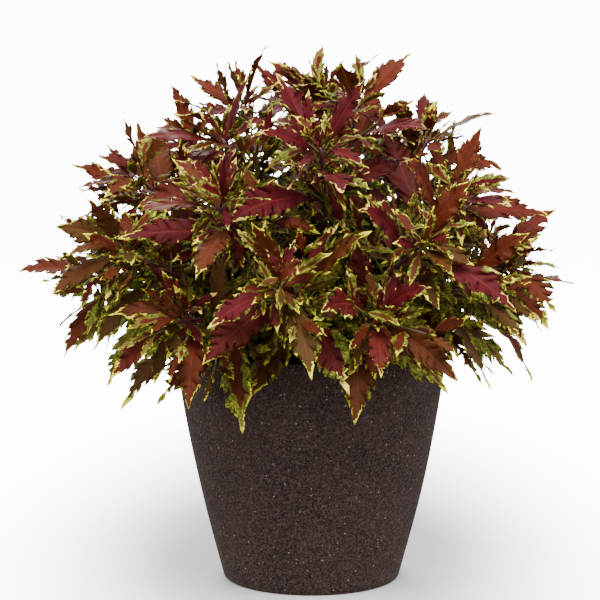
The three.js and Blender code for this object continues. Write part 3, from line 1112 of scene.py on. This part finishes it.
@functools.lru_cache(maxsize=None)
def sheet_faces(columns: int, across: int) -> tuple[list[list[int]], Array, Array, Array]:
    """Works out the faces of one leaf, whose two faces share their points along the edge.

    Args:
        columns: Number of columns along the leaf, the last of which is its tip.
        across: Number of steps from the rib to the edge.

    Returns:
        The faces, each corner's column, each corner's signed step across, and each face's side:
        0 for the upper and 1 for the under face.
    """
    last = columns - 1
    numbers = np.zeros((2, 2, across + 1, columns), int)  # sheet, side, step, column
    count = 0
    for sheet in (0, 1):
        inner = itertools.product((0, 1), range(1, across))
        for spot in ((slice(None), 0), *inner):
            numbers[(sheet, *spot)][..., :last] = count + np.arange(last)
            count += last
    for side in (0, 1):
        numbers[:, side, across, :last] = count + np.arange(last)
        count += last
    numbers[..., last] = count
    rings: list[list[tuple[int, int, int, int]]] = []
    for sheet, side, j, i in itertools.product((0, 1), (0, 1), range(across), range(last)):
        ring = [(sheet, side, j, i), (sheet, side, j + 1, i), (sheet, side, j + 1, i + 1)]
        if i + 1 < last:
            ring.append((sheet, side, j, i + 1))
        rings.append(ring[::-1] if (sheet + side) % 2 else ring)
    steps = range(across)
    cap = [(0, 0, j, 0) for j in steps] + [(0, 0, across, 0)] + [(1, 0, j, 0) for j in steps[::-1]]
    cap += [(1, 1, j, 0) for j in steps[1:]] + [(0, 1, across, 0)]
    cap += [(0, 1, j, 0) for j in steps[:0:-1]]
    rings.append(cap[::-1])
    corners = np.array([corner for ring in rings for corner in ring])
    faces = [[int(numbers[corner]) for corner in ring] for ring in rings]
    under = np.array([ring[0][0] for ring in rings[:-1]] + [1])
    return faces, corners[:, 3], np.where(corners[:, 1], 1, -1) * corners[:, 2], under


@dataclass
class Blade:
    """Cuts a leaf's outline into teeth and lays its two thin faces over it."""

    leaf: Leaf
    plan: SheetPlan
    age: float
    tint: float
    # painted shade: how far the leaf's colours are darkened for lying deep in the foliage
    shade: float = 0.0
    toothing: float = 1.0  # depth of the teeth
    vein_slant: float = 0.6  # how far the side veins run forward, over their way across
    ruffle: float = 0.016  # height of the edge's waves over the leaf's length
    curl: float = 0.07  # how far the edge bends down, over its distance from the rib
    skin: tuple[float, float] = (0.34, 0.64)  # half the blade's thickness at its tip and root

    def columns(self) -> Array:
        """Gives the place along the rib of each column.

        Each tooth has four: the points of the two sides, each with its cut close behind it.

        Returns:
            The places, from 0 at the root to 1 at the tip.
        """
        keys, start = self.leaf.keys, self.leaf.petiole_share
        pitch = np.array([1 + 0.4 * spread_draw(*keys, 49, k) for k in range(self.plan.teeth)])
        pitch *= np.linspace(1.15, 0.85, self.plan.teeth)
        ends = np.concatenate([[0.0], np.cumsum(pitch)]) / pitch.sum()
        steps = (0.0, 0.36, 0.5, 0.86)
        blade = [mix(a, b, share) for a, b in zip(ends[:-1], ends[1:]) for share in steps]
        stalk, tip = [0, start * 0.5, start * 0.85, start], [0.9, 0.95, 1.0]
        return np.concatenate([stalk, mix(start + 0.03, 0.87, np.array(blade)), tip])

    def edge(self, t: Array, side: int) -> tuple[Array, Array]:
        """Gives the half-width and the lean at each column.

        Args:
            t: The columns' places along the rib.
            side: 0 for the left half and 1 for the right, whose teeth lie between the left's.

        Returns:
            The half-widths in millimetres, and how far each point leans to the tip over its width.
        """
        leaf, keys = self.leaf, self.leaf.keys
        cut, lean = np.ones(len(t)), np.full(len(t), self.vein_slant)
        blunt = draw(*keys, 53)
        for i in range(STALK_COLUMNS, len(t) - TIP_COLUMNS):
            tooth, phase = divmod(i - STALK_COLUMNS + 2 * side, TOOTH_COLUMNS)
            far = (t[i] - t[STALK_COLUMNS]) / (t[-TIP_COLUMNS] - t[STALK_COLUMNS])
            size = mix(0.3, 1.7, draw(*keys, 51, side, tooth)) * mix(0.3, 1.2, min(1.0, 1.5 * far))
            size *= self.toothing
            # The cut behind a tooth, its two shoulders and its point.
            depths = (-0.42, -mix(0.22, 0.32, blunt), mix(-0.06, 0.16, blunt), 0.22)
            cut[i] += depths[phase] * size
            lean[i] += (-0.12, 0.0, 0.0, 0.45 * size)[phase]
        half = leaf.envelope(t)
        for _ in range(3):
            half = 0.92 * leaf.envelope(np.minimum(t + lean * half * cut / leaf.length, 1.0))
        slim = mix(0.25, 0.55, draw(*keys, 52))
        half = half * np.clip(cut, 0.3, 1.35) * (1 - slim * smoothstep(0.6, 0.97, t))
        half[:STALK_COLUMNS] = leaf.rule.petiole_half * np.array([1.15, 0.95, 0.95, 1.1])
        half[-1] = 0
        return half, lean

    def row(
        self, t: Array, edge: tuple[Array, Array], sheet: int, side: int, share: float
    ) -> tuple[Array, Array, Array]:
        """Lays one row of points along the leaf.

        Args:
            t: The columns' places along the rib, without the tip.
            edge: Half-width and lean at each column.
            sheet: 0 for the upper and 1 for the under face.
            side: 0 for the left half and 1 for the right.
            share: How far the row lies from the rib, 0, to the edge, 1.

        Returns:
            The points, their reach over the envelope, and their distance from the edge.
        """
        leaf, (half, lean) = self.leaf, (values[: len(t)] for values in edge)
        across = share * half * (1 if side else -1)
        lean = lean * (t > leaf.petiole_share)
        s = np.minimum(t + lean * share * half / leaf.length, 1.0)
        lobes, start = 3 + 2 * draw(*leaf.keys, 61), PHASES * draw(*leaf.keys, 60)
        wave = np.sin(FULL_TURN * lobes * s + start + 1.7 * side)
        wave *= self.ruffle * leaf.length * share**1.5 * smoothstep(leaf.petiole_share, 0.5, s)
        wave -= self.curl * share * share * np.abs(across)
        skin = mix(*self.skin, 1 - s) * (1 - share * share)
        if share == 0:
            keel = 0.75 * leaf.rule.petiole_half * (1 - 0.75 * s) + 0.1
            skin = np.where(t <= leaf.petiole_share, keel, keel if sheet else skin * 0.55)
        points = leaf.point(s, across, wave + skin * (-1 if sheet else 1))
        mean = np.maximum(leaf.envelope(s), 0.35 * leaf.half_width)
        return points, share * half / mean, (1 - share) * half

    def build(self) -> tuple[Array, dict[str, Array], Array]:
        """Gives the points, their numbers for the colours, and the columns' places.

        Returns:
            The points; their reach over the envelope and their distance from the edge in
            millimetres; and the columns' places along the rib.
        """
        t, shares = self.columns(), (0.0, *self.plan.across)
        edges = [self.edge(t, side) for side in (0, 1)]
        inner = list(itertools.product((0, 1), shares[1:-1]))
        spots = [(sheet, *spot) for sheet in (0, 1) for spot in ((0, 0.0), *inner)]
        spots += [(0, side, shares[-1]) for side in (0, 1)]
        rows = [self.row(t[:-1], edges[side], sheet, side, f) for sheet, side, f in spots]
        tip = self.leaf.point(np.array([1.0]), np.array([0.0]))
        rows.append((tip, np.array([1.2]), np.array([0.0])))
        points, reach, rim = (np.concatenate(column) for column in zip(*rows))
        return points, {"reach": reach, "rim": rim}, t


class Atlas:
    """Packs rectangles on shelves into one square, so that each sheet has its own cell."""

    def __init__(self, sizes: Sequence[tuple[float, float]]) -> None:
        """Lays out the cells of all sizes.

        Args:
            sizes: Width and height of each rectangle.
        """
        order = sorted(range(len(sizes)), key=lambda i: -sizes[i][1])
        width = math.sqrt(sum((w + 1) * (h + 1) for w, h in sizes) * 1.1)
        x = y = shelf = 0.0
        self.cells: list[tuple[float, float, float, float]] = [(0, 0, 0, 0)] * len(sizes)
        for i in order:
            w, h = sizes[i]
            if x + w > width:
                x, y, shelf = 0.0, y + shelf + 1, 0.0
            self.cells[i] = (x, y, w, h)
            x, shelf = x + w + 1, max(shelf, h)
        self.side = max(width, y + shelf) + 1

    def place(self, number: int, own: Array) -> Array:
        """Maps a sheet's own coordinates, each from 0 to 1, into its cell."""
        x, y, w, h = self.cells[number]
        return (own * [w, h] + [x, y]) / self.side


SQUARE_SECTION = np.array([(1, 0.55), (0.55, 1), (-0.55, 1), (-1, 0.55)])  # half of it
SQUARE_SECTION = np.concatenate([SQUARE_SECTION, -SQUARE_SECTION])
ROUND_SECTION = np.array([(math.cos(a), math.sin(a)) for a in np.arange(5) * FULL_TURN / 5])


@dataclass
class Sheaf:
    """Gathers a leafy stem's parts into one mesh."""

    points: list[Array] = field(default_factory=list)
    faces: list[list[int]] = field(default_factory=list)
    numbers: dict[str, list[Array]] = field(
        default_factory=lambda: {name: [] for name in POINT_NUMBERS}
    )
    under: list[Array] = field(default_factory=list)
    slots: list[Array] = field(default_factory=list)
    sizes: list[tuple[float, float]] = field(default_factory=list)
    corners: list[tuple[int, Array, Array]] = field(default_factory=list)
    count: int = 0

    def add(
        self,
        points: Array,
        faces: list[list[int]],
        slot: int,
        under: Array,
        own: Array,
        size: tuple[float, float],
        **numbers: Array | float,
    ) -> None:
        """Adds one part.

        Args:
            points: The part's points.
            faces: Its faces, numbered from its own first point.
            slot: The number of its material.
            under: For each face, the number of the sheet that it belongs to.
            own: For each face corner, its place along and across the part, from 0 to 1.
            size: Length and width of a sheet.
            **numbers: What the points carry for the colours, by name.
        """
        self.faces += [[v + self.count for v in face] for face in faces]
        self.points.append(points)
        for key, values in numbers.items():
            self.numbers[key].append(np.broadcast_to(np.asarray(values, float), (len(points),)))
        self.count += len(points)
        self.under.append(under)
        self.slots.append(np.full(len(faces), slot))
        sheet = np.repeat(under, [len(face) for face in faces])
        self.corners.append((len(self.sizes), sheet, own))
        self.sizes += [size] * (int(under.max()) + 1)

    def add_leaf(self, blade: Blade) -> None:
        """Adds a leaf.

        Args:
            blade: The leaf with its looks.
        """
        points, numbers, t = blade.build()
        shares = np.array([0.0, *blade.plan.across])
        faces, column, step, under = sheet_faces(len(t), len(shares) - 1)
        own = np.stack([t[column], 0.5 + 0.5 * np.sign(step) * shares[np.abs(step)]], 1)
        numbers |= {"tint": blade.tint, "age": blade.age, "shade": blade.shade}
        size = (blade.leaf.length, 2 * blade.leaf.half_width)
        self.add(points, faces, 0, under, own, size, **numbers)

    def add_stalk(
        self, line: Array, sides: Array, halves: Array, section: Array, ages: Array
    ) -> None:
        """Adds a stem as rings along a line.

        Args:
            line: Centre of each ring.
            sides: Direction of the section's first side at each ring.
            halves: Half the section's width at each ring.
            section: The section's points, over half its width.
            ages: A number for each ring that the stem's colour follows.
        """
        rings, n = len(line), len(section)
        tangent = np.gradient(line, axis=0)
        tangent /= np.linalg.norm(tangent, axis=1)[:, None]
        side = sides - tangent * np.sum(sides * tangent, 1)[:, None]
        side /= np.linalg.norm(side, axis=1)[:, None]
        axes = np.stack([side, np.cross(tangent, side)], 1)
        points = line[:, None] + (section @ axes) * halves[:, None, None]
        corners = [
            [(i, k), (i, k + 1), (i + 1, k + 1), (i + 1, k)]
            for i, k in itertools.product(range(rings - 1), range(n))
        ]
        corners.append([(rings - 1, k) for k in range(n)])
        corners.append([(0, k) for k in reversed(range(n))])
        self.add(
            points.reshape(-1, 3),
            [[i * n + k % n for i, k in face] for face in corners],
            1,
            np.zeros(len(corners), int),
            np.array([corner for face in corners for corner in face]) / [rings - 1, n],
            (float(np.linalg.norm(np.diff(line, axis=0), axis=1).sum()), float(8 * halves.mean())),
            reach=0.0,
            rim=9.0,
            tint=0.5,
            age=np.repeat(ages, n),
            shade=0.0,
        )

    def piece(self, name: str, materials: Sequence[bpy.types.Material]) -> bpy.types.Object:
        """Makes the gathered mesh into an object with its numbers and maps.

        Args:
            name: The piece's name.
            materials: What the leaves and the stems are made of.

        Returns:
            The piece.
        """
        piece = make_piece(name, np.concatenate(self.points), self.faces, materials)
        mesh = piece.data
        mesh.polygons.foreach_set("material_index", np.concatenate(self.slots))
        for key, values in self.numbers.items():
            add_numbers(mesh, key, "POINT", np.concatenate(values))
        add_numbers(mesh, "under", "FACE", np.concatenate(self.under).astype(float))
        atlas = Atlas(self.sizes)
        cells = []
        for first, sheet, own in self.corners:
            parts = [atlas.place(first + k, own) for k in range(int(sheet.max()) + 1)]
            cells.append(np.where(sheet[:, None] == 0, parts[0], parts[-1]))
        add_uv(mesh, "leaf", np.concatenate([own for _, _, own in self.corners]))
        add_uv(mesh, "OFBake", np.concatenate(cells))
        return piece


# ------------------------------------------------------------------ the whole plant

SIDE_PAIRS = ((1.0, 40, 28), (0.62, 50, 52), (0.3, 48, 64), (0.1, 52, 76), (1.0, 22, 14))
TIP_PAIRS = ((1.0, 46, 34), (1.0, 30, 24), (1.0, 18, 14))


@dataclass(frozen=True)
class Shoot:
    """A young shoot: where it starts, how it grows and what pairs of leaves it has."""

    keys: tuple[int, ...]
    place: Array
    axis: Array
    side: Array
    length: float
    pairs: Sequence[Triple]  # height, leaf length and spread in degrees of each


@dataclass
class Coleus:
    """The plant: leafy stems with their large leaves, young shoots and growing tips."""

    pot: Pot
    mix_bed: PottingMix
    rule: GrowthRule = field(default_factory=GrowthRule)
    tissue: LeafTissue = field(default_factory=LeafTissue)
    skin: StemSkin = field(default_factory=StemSkin)
    low_pairs: float = 0.7  # leaves below this share of their stem are the low ones
    low_ages: tuple[float, float] = (0.36, 0.92)
    high_ages: tuple[float, float] = (0.8, 1.15)
    low_toothing: tuple[float, float] = (0.9, 1.45)
    high_toothing: tuple[float, float] = (0.45, 0.85)
    large_steps: tuple[float, ...] = (0.1, 0.45, 0.75, 1.0)
    heart_above: float = 25  # height over the mix of the point that all leaves turn away from
    foliage_radius: float = 250
    foliage_height: float = 300
    crowd_mm: float = 3.2  # two young leaves never share a cell of this size
    tries: int = 4  # for each young leaf
    deep_shade: float = 0.1  # from here on a young leaf has fewer faces
    shoot_heights: tuple[float, ...] = (0.97, 0.86, 0.74, 0.66, 0.58, 0.5, 0.42, 0.28, 0.15)
    taken: set[tuple[int, ...]] = field(default_factory=set)  # cells that leaves pass through

    def __post_init__(self) -> None:
        """Works out where the leaves turn out from, and makes room for them."""
        self.heart = np.array([0.0, 0.0, self.mix_bed.level + self.heart_above])
        self.room = Room(self.rule, self.pot, self.mix_bed.top)

    def lay_out(self) -> tuple[list[Course], list[list[Leaf]]]:
        """Places the stems and their large leaves as the solids do.

        Returns:
            The stems' courses, and the leaves of each.
        """
        courses = [self.rule.course(i, self.mix_bed.top) for i in range(self.rule.count)]
        for course in courses:
            marks = math.floor(course.length / 5 + 0.5)
            for i in range(marks + 1):
                self.room.add(course.along(i / marks)[0], course.index, Mark.STALK)
        leaves: list[list[Leaf]] = [[] for _ in courses]
        for order, course, side in itertools.product(range(len(PAIRS)), courses, (0, 1)):
            leaf = self.place_leaf(course, order, side)
            if leaf is not None:
                leaves[course.index].append(leaf)
        return courses, leaves

    def place_leaf(self, course: Course, order: int, side: int) -> Leaf | None:
        """Tries a leaf in its own place, and then turned aside.

        Args:
            course: The stem's course.
            order: The pair's number from the top.
            side: 0 or 1, for the two leaves of the pair.

        Returns:
            The leaf, or None if nothing is free.
        """
        rule, room, stem = self.rule, self.room, course.index
        s = np.repeat(np.arange(2, rule.leaf_steps + 1) / rule.leaf_steps, 5)
        shares = np.tile([-1.0, -0.5, 0.0, 0.5, 1.0], rule.leaf_steps - 1)
        for attempt in range(rule.tries):
            leaf = rule.leaf(course, PAIRS[order], order, side, attempt, self.heart)
            points = leaf.point(s, shares * leaf.envelope(s))
            near_root = [bool(x < rule.root_share) for x in s]
            if all(
                room.clear_of_pot(p) and room.free(p, stem, near)
                for near, p in zip(near_root, points)
            ):
                for near, p in zip(near_root, points):
                    room.add(p, stem, Mark.ROOT if near else Mark.LEAF)
                return leaf
        return None

    def crowd_cells(self, leaf: Leaf, rows: int, wide: int) -> set[tuple[int, ...]]:
        """Gives the small cells that a leaf's blade passes through.

        Args:
            leaf: The leaf.
            rows: Steps along the blade.
            wide: Steps across it.

        Returns:
            The cells.
        """
        s = np.repeat(np.linspace(0.3, 1.0, rows), wide)
        shares = np.tile(np.linspace(-1, 1, wide), rows)
        cells = np.floor(leaf.point(s, shares * leaf.envelope(s)) / self.crowd_mm).astype(int)
        return set(map(tuple, cells.tolist()))

    def shade(self, leaf: Leaf) -> float:
        """Tells how deep in the plant's shade a leaf lies, from 0 outside to 1, as painted shade for
        its colours.

        Leaves that hang over the pot's rim get light from below the others, so they are painted with
        less shade.

        Args:
            leaf: The leaf.

        Returns:
            Its shade.
        """
        x, y, z = leaf.place[6] - np.array([0, 0, self.mix_bed.top])
        radius = math.hypot(x, y)
        out = math.hypot(radius / self.foliage_radius, z / self.foliage_height)
        # painted light: a leaf hanging over the rim gets less of the painted shade
        hanging = float(smoothstep(110, 150, radius) * (1 - smoothstep(0, 70, z)))
        return (1 - float(smoothstep(0.5, 0.88, out))) * (1 - 0.6 * hanging)

    def tone(self, leaf: Leaf, lot: float) -> float:
        """Tells how far a leaf has turned from burgundy, at 0, over brick to bronze, at 1.

        Leaves that hang low and leaves on the flanks turn first, and so do all leaves of some
        stems.

        Args:
            leaf: The leaf.
            lot: The leaf's own draw.

        Returns:
            Its tone.
        """
        x, _, z = leaf.place[6]
        off_side = max(0.3 * (1 - smoothstep(230, 400, z)), 0.22 * smoothstep(60, 200, abs(x)))
        return min(1.0, 0.72 * lot + float(off_side) + 0.2 * draw(leaf.keys[0], 90) - 0.05)

    def greening(self, leaf: Leaf) -> float:
        """Tells how much greener than the others a leaf low on the plant's flanks has stayed."""
        x, _, z = leaf.place[6]
        return 0.45 * float(smoothstep(110, 170, abs(x)) * (1 - smoothstep(240, 340, z)))

    def large_blade(self, leaf: Leaf) -> Blade:
        """Works out the looks of a large leaf; a low one is more cut and less far on.

        Args:
            leaf: The leaf.

        Returns:
            The leaf with its looks.
        """
        low = leaf.rule.at < self.low_pairs
        age = mix(*(self.low_ages if low else self.high_ages), draw(*leaf.keys, 70))
        toothing = self.low_toothing if low else self.high_toothing
        return Blade(
            leaf,
            SheetPlan(leaf.rule.teeth, self.large_steps),
            age - self.greening(leaf),
            self.tone(leaf, draw(*leaf.keys, 71)),
            0.75 * self.shade(leaf),
            mix(*toothing, draw(*leaf.keys, 72)),
        )

    def young_blade(self, leaf: Leaf) -> Blade:
        """Works out the looks of a young leaf; the smaller and the more shaded, the greener.

        Args:
            leaf: The leaf.

        Returns:
            The leaf with its looks.
        """
        shade = self.shade(leaf)
        across = (0.55, 1.0) if shade < self.deep_shade else (1.0,)
        open_air = 1 - float(smoothstep(0.0, 0.35, shade))
        grown = draw(*leaf.keys, 10) * mix((leaf.length / 60) ** 2, 1, open_air)
        return Blade(
            leaf,
            SheetPlan(3 if leaf.length > 30 else 2, across),
            mix(-0.2, 0.15, open_air) + 0.9 * grown - self.greening(leaf),
            self.tone(leaf, draw(*leaf.keys, 11)),
            shade,
            toothing=0.7,
            ruffle=0.03,
        )

    def smooth_line(self, course: Course, rings: int) -> tuple[Array, Array, Array]:
        """Eases a stem's straight steps into one curve.

        Args:
            course: The stem's course.
            rings: Number of places to give.

        Returns:
            The places, the section's sides and the shares of the way from root to tip.
        """
        knots = np.array(course.points)
        lengths = np.linalg.norm(np.diff(knots, axis=0), axis=1)
        lengths = np.concatenate([[0], np.cumsum(lengths)])
        way = np.linspace(0, lengths[-1], 8 * rings)
        line, sides = (
            np.stack([np.interp(way, lengths, rows[:, k]) for k in range(3)], 1)
            for rows in (knots, np.array([side for _, side in course.frames]))
        )
        for _ in range(60):
            line[1:-1] = 0.25 * line[:-2] + 0.5 * line[1:-1] + 0.25 * line[2:]
        pick = np.linspace(0, len(way) - 1, rings).astype(int)
        return line[pick], sides[pick], way[pick] / lengths[-1]

    def add_stem(self, sheaf: Sheaf, course: Course) -> None:
        """Adds the square stem, a little thicker where leaves grow from it.

        Args:
            sheaf: What it is added to.
            course: The stem's course.
        """
        rule = self.rule
        line, sides, share = self.smooth_line(course, 44)
        above = (share * (course.length + rule.rooted) - rule.rooted) / course.length
        above = np.clip(above, 0, 1)
        halves = rule.foot_half + (rule.tip_half - rule.foot_half) * above
        for pair in PAIRS:
            halves += 0.5 * np.exp(-(((above - pair.at) * course.length / 4.5) ** 2))
        sheaf.add_stalk(line, sides, halves, SQUARE_SECTION, above)

    def shoots(self, courses: Sequence[Course]) -> Iterator[Shoot]:
        """Gives the side shoots from the top of the stems down, and then the growing tips.

        Args:
            courses: The stems' courses.

        Returns:
            The shoots, one at a time.
        """
        for (step, height), course in itertools.product(enumerate(self.shoot_heights), courses):
            place, axis, side = course.along(height)
            for hand in (0, 1):
                keys = (course.index, 40 + step, hand)
                around = math.radians(90 * step + 180 * hand + 20 * spread_draw(*keys, 1))
                tilt = math.radians(mix(30, 62, draw(*keys, 2)))
                heading = unit(swing(axis, swing(side, np.cross(axis, side), around), tilt))
                across = unit(np.cross(heading, axis + 0.01 * UP))
                length = mix(14, 60, draw(*keys, 3)) * (1 - 0.5 * (height > 0.9))
                yield Shoot(keys, place, heading, across, length, SIDE_PAIRS)
        for course in courses:
            place, axis, side = course.along(1.0)
            yield Shoot((course.index, 80, 0), place - axis * 2, axis, side, 4.0, TIP_PAIRS)

    def young_leaf(self, shoot: Shoot, order: int, hand: int, attempt: int) -> Leaf:
        """Works out one leaf of a shoot; later attempts turn it further aside and are smaller.

        Args:
            shoot: The shoot.
            order: The pair's number.
            hand: 0 or 1, for the two leaves of the pair.
            attempt: How many places were tried before.

        Returns:
            The leaf.
        """
        keys = (*shoot.keys, order, hand, attempt)
        at, size, spread = shoot.pairs[order]
        around = 90 * order + 180 * hand + 25 * (1 + attempt) * spread_draw(*keys, 7)
        across = swing(shoot.side, np.cross(shoot.axis, shoot.side), math.radians(around))
        length = size * mix(0.8, 1.2, draw(*keys, 8)) * (1 - 0.12 * attempt)
        tilt = math.radians(spread + 14 * (1 + attempt) * spread_draw(*keys, 9))
        place = shoot.place + shoot.axis * (at * shoot.length)
        outward = unit(place - self.heart)
        pose = Pose(
            place,
            unit(swing(shoot.axis, across, tilt)),
            outward + (UP - outward) * 0.5 + FRONT * 0.3,
            0.006 * (1 + spread_draw(*keys, 3)),
            math.radians(35 * spread_draw(*keys, 4)),
            math.radians(50 * spread_draw(*keys, 5)),
        )
        pair = PairRule(0, length, 0, max(0.45, length * 0.011))
        half_width = length * mix(0.12, 0.185, draw(*keys, 1))
        fold = mix(0.1, 0.5, draw(*keys, 2))
        return self.rule.grow(pair, length, half_width, fold, keys, pose)

    def place_young_leaf(self, shoot: Shoot, order: int, hand: int) -> Leaf | None:
        """Tries a young leaf in its own place, and then turned aside and smaller.

        Args:
            shoot: The shoot.
            order: The pair's number.
            hand: 0 or 1, for the two leaves of the pair.

        Returns:
            The leaf, or None if all is full.
        """
        for attempt in range(self.tries):
            leaf = self.young_leaf(shoot, order, hand, attempt)
            cells = self.crowd_cells(leaf, max(5, int(leaf.length / 4)), 5)
            clear = all(self.room.clear_of_pot(leaf.place[i]) for i in (6, -1))
            if clear and not cells & self.taken:
                self.taken |= cells
                return leaf
        return None

    def add_shoot(self, sheaf: Sheaf, shoot: Shoot) -> int:
        """Adds a young shoot with those of its leaves that find room.

        Args:
            sheaf: What the shoot is added to.
            shoot: The shoot.

        Returns:
            The number of leaves added.
        """
        grown = []
        for order, hand in itertools.product(range(len(shoot.pairs)), (0, 1)):
            leaf = self.place_young_leaf(shoot, order, hand)
            if leaf is not None:
                sheaf.add_leaf(self.young_blade(leaf))
                grown.append(shoot.pairs[order][0])
        if grown and shoot.length > 8:
            way = np.linspace(0, max(grown), 5)[:, None] * shoot.length
            line, sides = shoot.place + shoot.axis * way, np.tile(shoot.side, (5, 1))
            halves, ages = np.linspace(1.2, 0.7, 5), np.linspace(0.1, 0.6, 5)
            sheaf.add_stalk(line, sides, halves, ROUND_SECTION, ages)
        return len(grown)

    def build(self) -> None:
        """Makes one piece for each leafy stem."""
        courses, leaves = self.lay_out()
        materials = [self.tissue.material(), self.skin.material()]
        sheaves = [Sheaf() for _ in courses]
        for course, own, sheaf in zip(courses, leaves, sheaves):
            self.add_stem(sheaf, course)
            for leaf in own:
                self.taken |= self.crowd_cells(leaf, 34, 15)
                sheaf.add_leaf(self.large_blade(leaf))
        young = sum(self.add_shoot(sheaves[s.keys[0]], s) for s in self.shoots(courses))
        LOG.info("%d large and %d young leaves", sum(map(len, leaves)), young)
        for number, sheaf in enumerate(sheaves, 1):
            piece = sheaf.piece(f"leafy_shoot_{number:02d}", materials)
            hand_over(piece, f"leafy_stem_{number:02d}")


# ------------------------------------------------------------------ studio


@dataclass(frozen=True)
class Softbox:
    """A square soft light that points at the height of the plant's middle."""

    name: str
    place: Triple
    aim: float
    size: float
    watts: float


SOFTBOXES = (
    Softbox("softbox_top", (0.2, -1.25, 2.4), 0.3, 1.7, 184),
    Softbox("softbox_right", (2.2, -1.0, 1.1), 0.25, 1.2, 31),
    Softbox("softbox_left", (-2.2, -1.0, 1.1), 0.25, 1.2, 33),
    Softbox("softbox_back", (-0.4, 2.2, 1.9), 0.3, 1.4, 100),
)


def set_up(name: str, data: bpy.types.ID, place: Triple, target: Triple) -> bpy.types.Object:
    """Sets up a lamp or camera at a place and points it at a target.

    Args:
        name: Its name.
        data: The lamp or camera itself.
        place: Where it stands.
        target: What it points at.

    Returns:
        Its object.
    """
    thing = bpy.data.objects.new(name, data)
    thing.location = place
    thing.rotation_mode = "QUATERNION"
    thing.rotation_quaternion = (Vector(target) - Vector(place)).to_track_quat("-Z", "Y")
    bpy.context.scene.collection.objects.link(thing)
    return thing


@dataclass
class Studio:
    """A pale floor with painted glow and a painted shadow round the plant, soft studio light and the
    camera, in metres.
    """

    camera_place: Triple = (0.0, -2.1, 0.53)
    camera_target: Triple = (-0.0115, 0.0, 0.28)
    lens_mm: float = 127
    sensor_mm: float = 36
    paper: str = "#d9d8d7"
    roughness: float = 0.9
    flat: float = 4.0
    bend: float = 1.5
    wall: float = 3.6
    # painted light: the paper glows this strongly away from the plant, and its dim oval round the
    # plant is painted shadow
    glow: float = 12.0
    glow_from: float = 0.12
    glow_full: float = 0.45
    painted_shadow_place: float = 0.08  # how far behind the middle the paper is darkest
    painted_shadow_depth: float = 0.37  # how slowly it brightens towards the back, over the sides
    fill: float = 0.95

    def build(self) -> None:
        """Sets up the floor, the light and the camera."""
        self.floor()
        for box in SOFTBOXES:
            data = bpy.data.lights.new(box.name, "AREA")
            data.size, data.energy = box.size, box.watts
            set_up(box.name, data, box.place, (0, 0, box.aim))
        world = bpy.data.worlds.new("studio")
        world.use_nodes = True
        backdrop = world.node_tree.nodes["Background"]
        backdrop.inputs["Color"].default_value = (1, 1, 1, 1)
        backdrop.inputs["Strength"].default_value = self.fill
        bpy.context.scene.world = world
        data = bpy.data.cameras.new("camera")
        data.lens, data.sensor_width = self.lens_mm, self.sensor_mm
        camera = set_up("camera", data, self.camera_place, self.camera_target)
        bpy.context.scene.camera = camera

    def paper_finish(self) -> bpy.types.Material:
        """Makes the paper's material, which glows white away from the plant: painted light, which
        leaves a dim oval round the plant as painted shadow.

        Returns:
            The material.
        """
        t = Tree("glowing_paper_with_painted_shadow")
        place = t.add("TexCoord", {}, out="Object")
        stretch = (1, self.painted_shadow_depth, 0)
        shift = (0, -self.painted_shadow_depth * self.painted_shadow_place, 0)
        away = t.add("VectorMath", {"operation": "MULTIPLY_ADD"}, place, stretch, shift)
        away = t.add("VectorMath", {"operation": "LENGTH"}, away, out="Value")
        painted_glow_strength = t.add("MapRange", EASED, away, self.glow_from, self.glow_full, 0.0, self.glow)
        light = {"Emission_Color": (1, 1, 1, 1), "Emission_Strength": painted_glow_strength}
        shell = {"Roughness": self.roughness, **light}
        return t.finish(t.add("BsdfPrincipled", {}, self.paper, **shell))

    def floor(self) -> None:
        """Lays the pale floor, which curves up into a white wall that glows all round: painted
        light.
        """
        profile = [
            (0.0, 0.0),
            *((float(r), 0.0) for r in np.linspace(0.2, self.flat, 16)),
            *arc(self.flat, self.bend, self.bend, np.arange(-3.5, 0.5, 0.5)),
            (self.flat + self.bend, self.wall),
            (0.0, self.wall),
        ]
        points, faces = turned([(r / MM, z / MM) for r, z in profile], 64)
        faces = [face[::-1] for face in faces if len(points) - 1 not in face]
        floor = make_piece("floor", points, faces, [self.paper_finish()])
        # The paper's painted glow shows to the eye alone, so that the softboxes shape the plant.
        floor.visible_diffuse = floor.visible_glossy = floor.visible_transmission = False
        floor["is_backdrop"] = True


def main() -> None:
    """Builds the plant in its pot and the studio round it."""
    logging.basicConfig(level=logging.INFO, format="%(name)s: %(message)s")
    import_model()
    packed = [list(corner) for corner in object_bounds()]
    pot = Pot()
    bed = PottingMix(pot)
    Studio().build()
    pot.build()
    bed.build()
    Coleus(pot, bed).build()
    visual = [list(corner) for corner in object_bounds()]
    for corner, cad, seen in zip(("low", "high"), packed, visual):
        LOG.info("%s corner: solids %s, looks %s", corner, cad, seen)


if __name__ == "__main__":
    main()
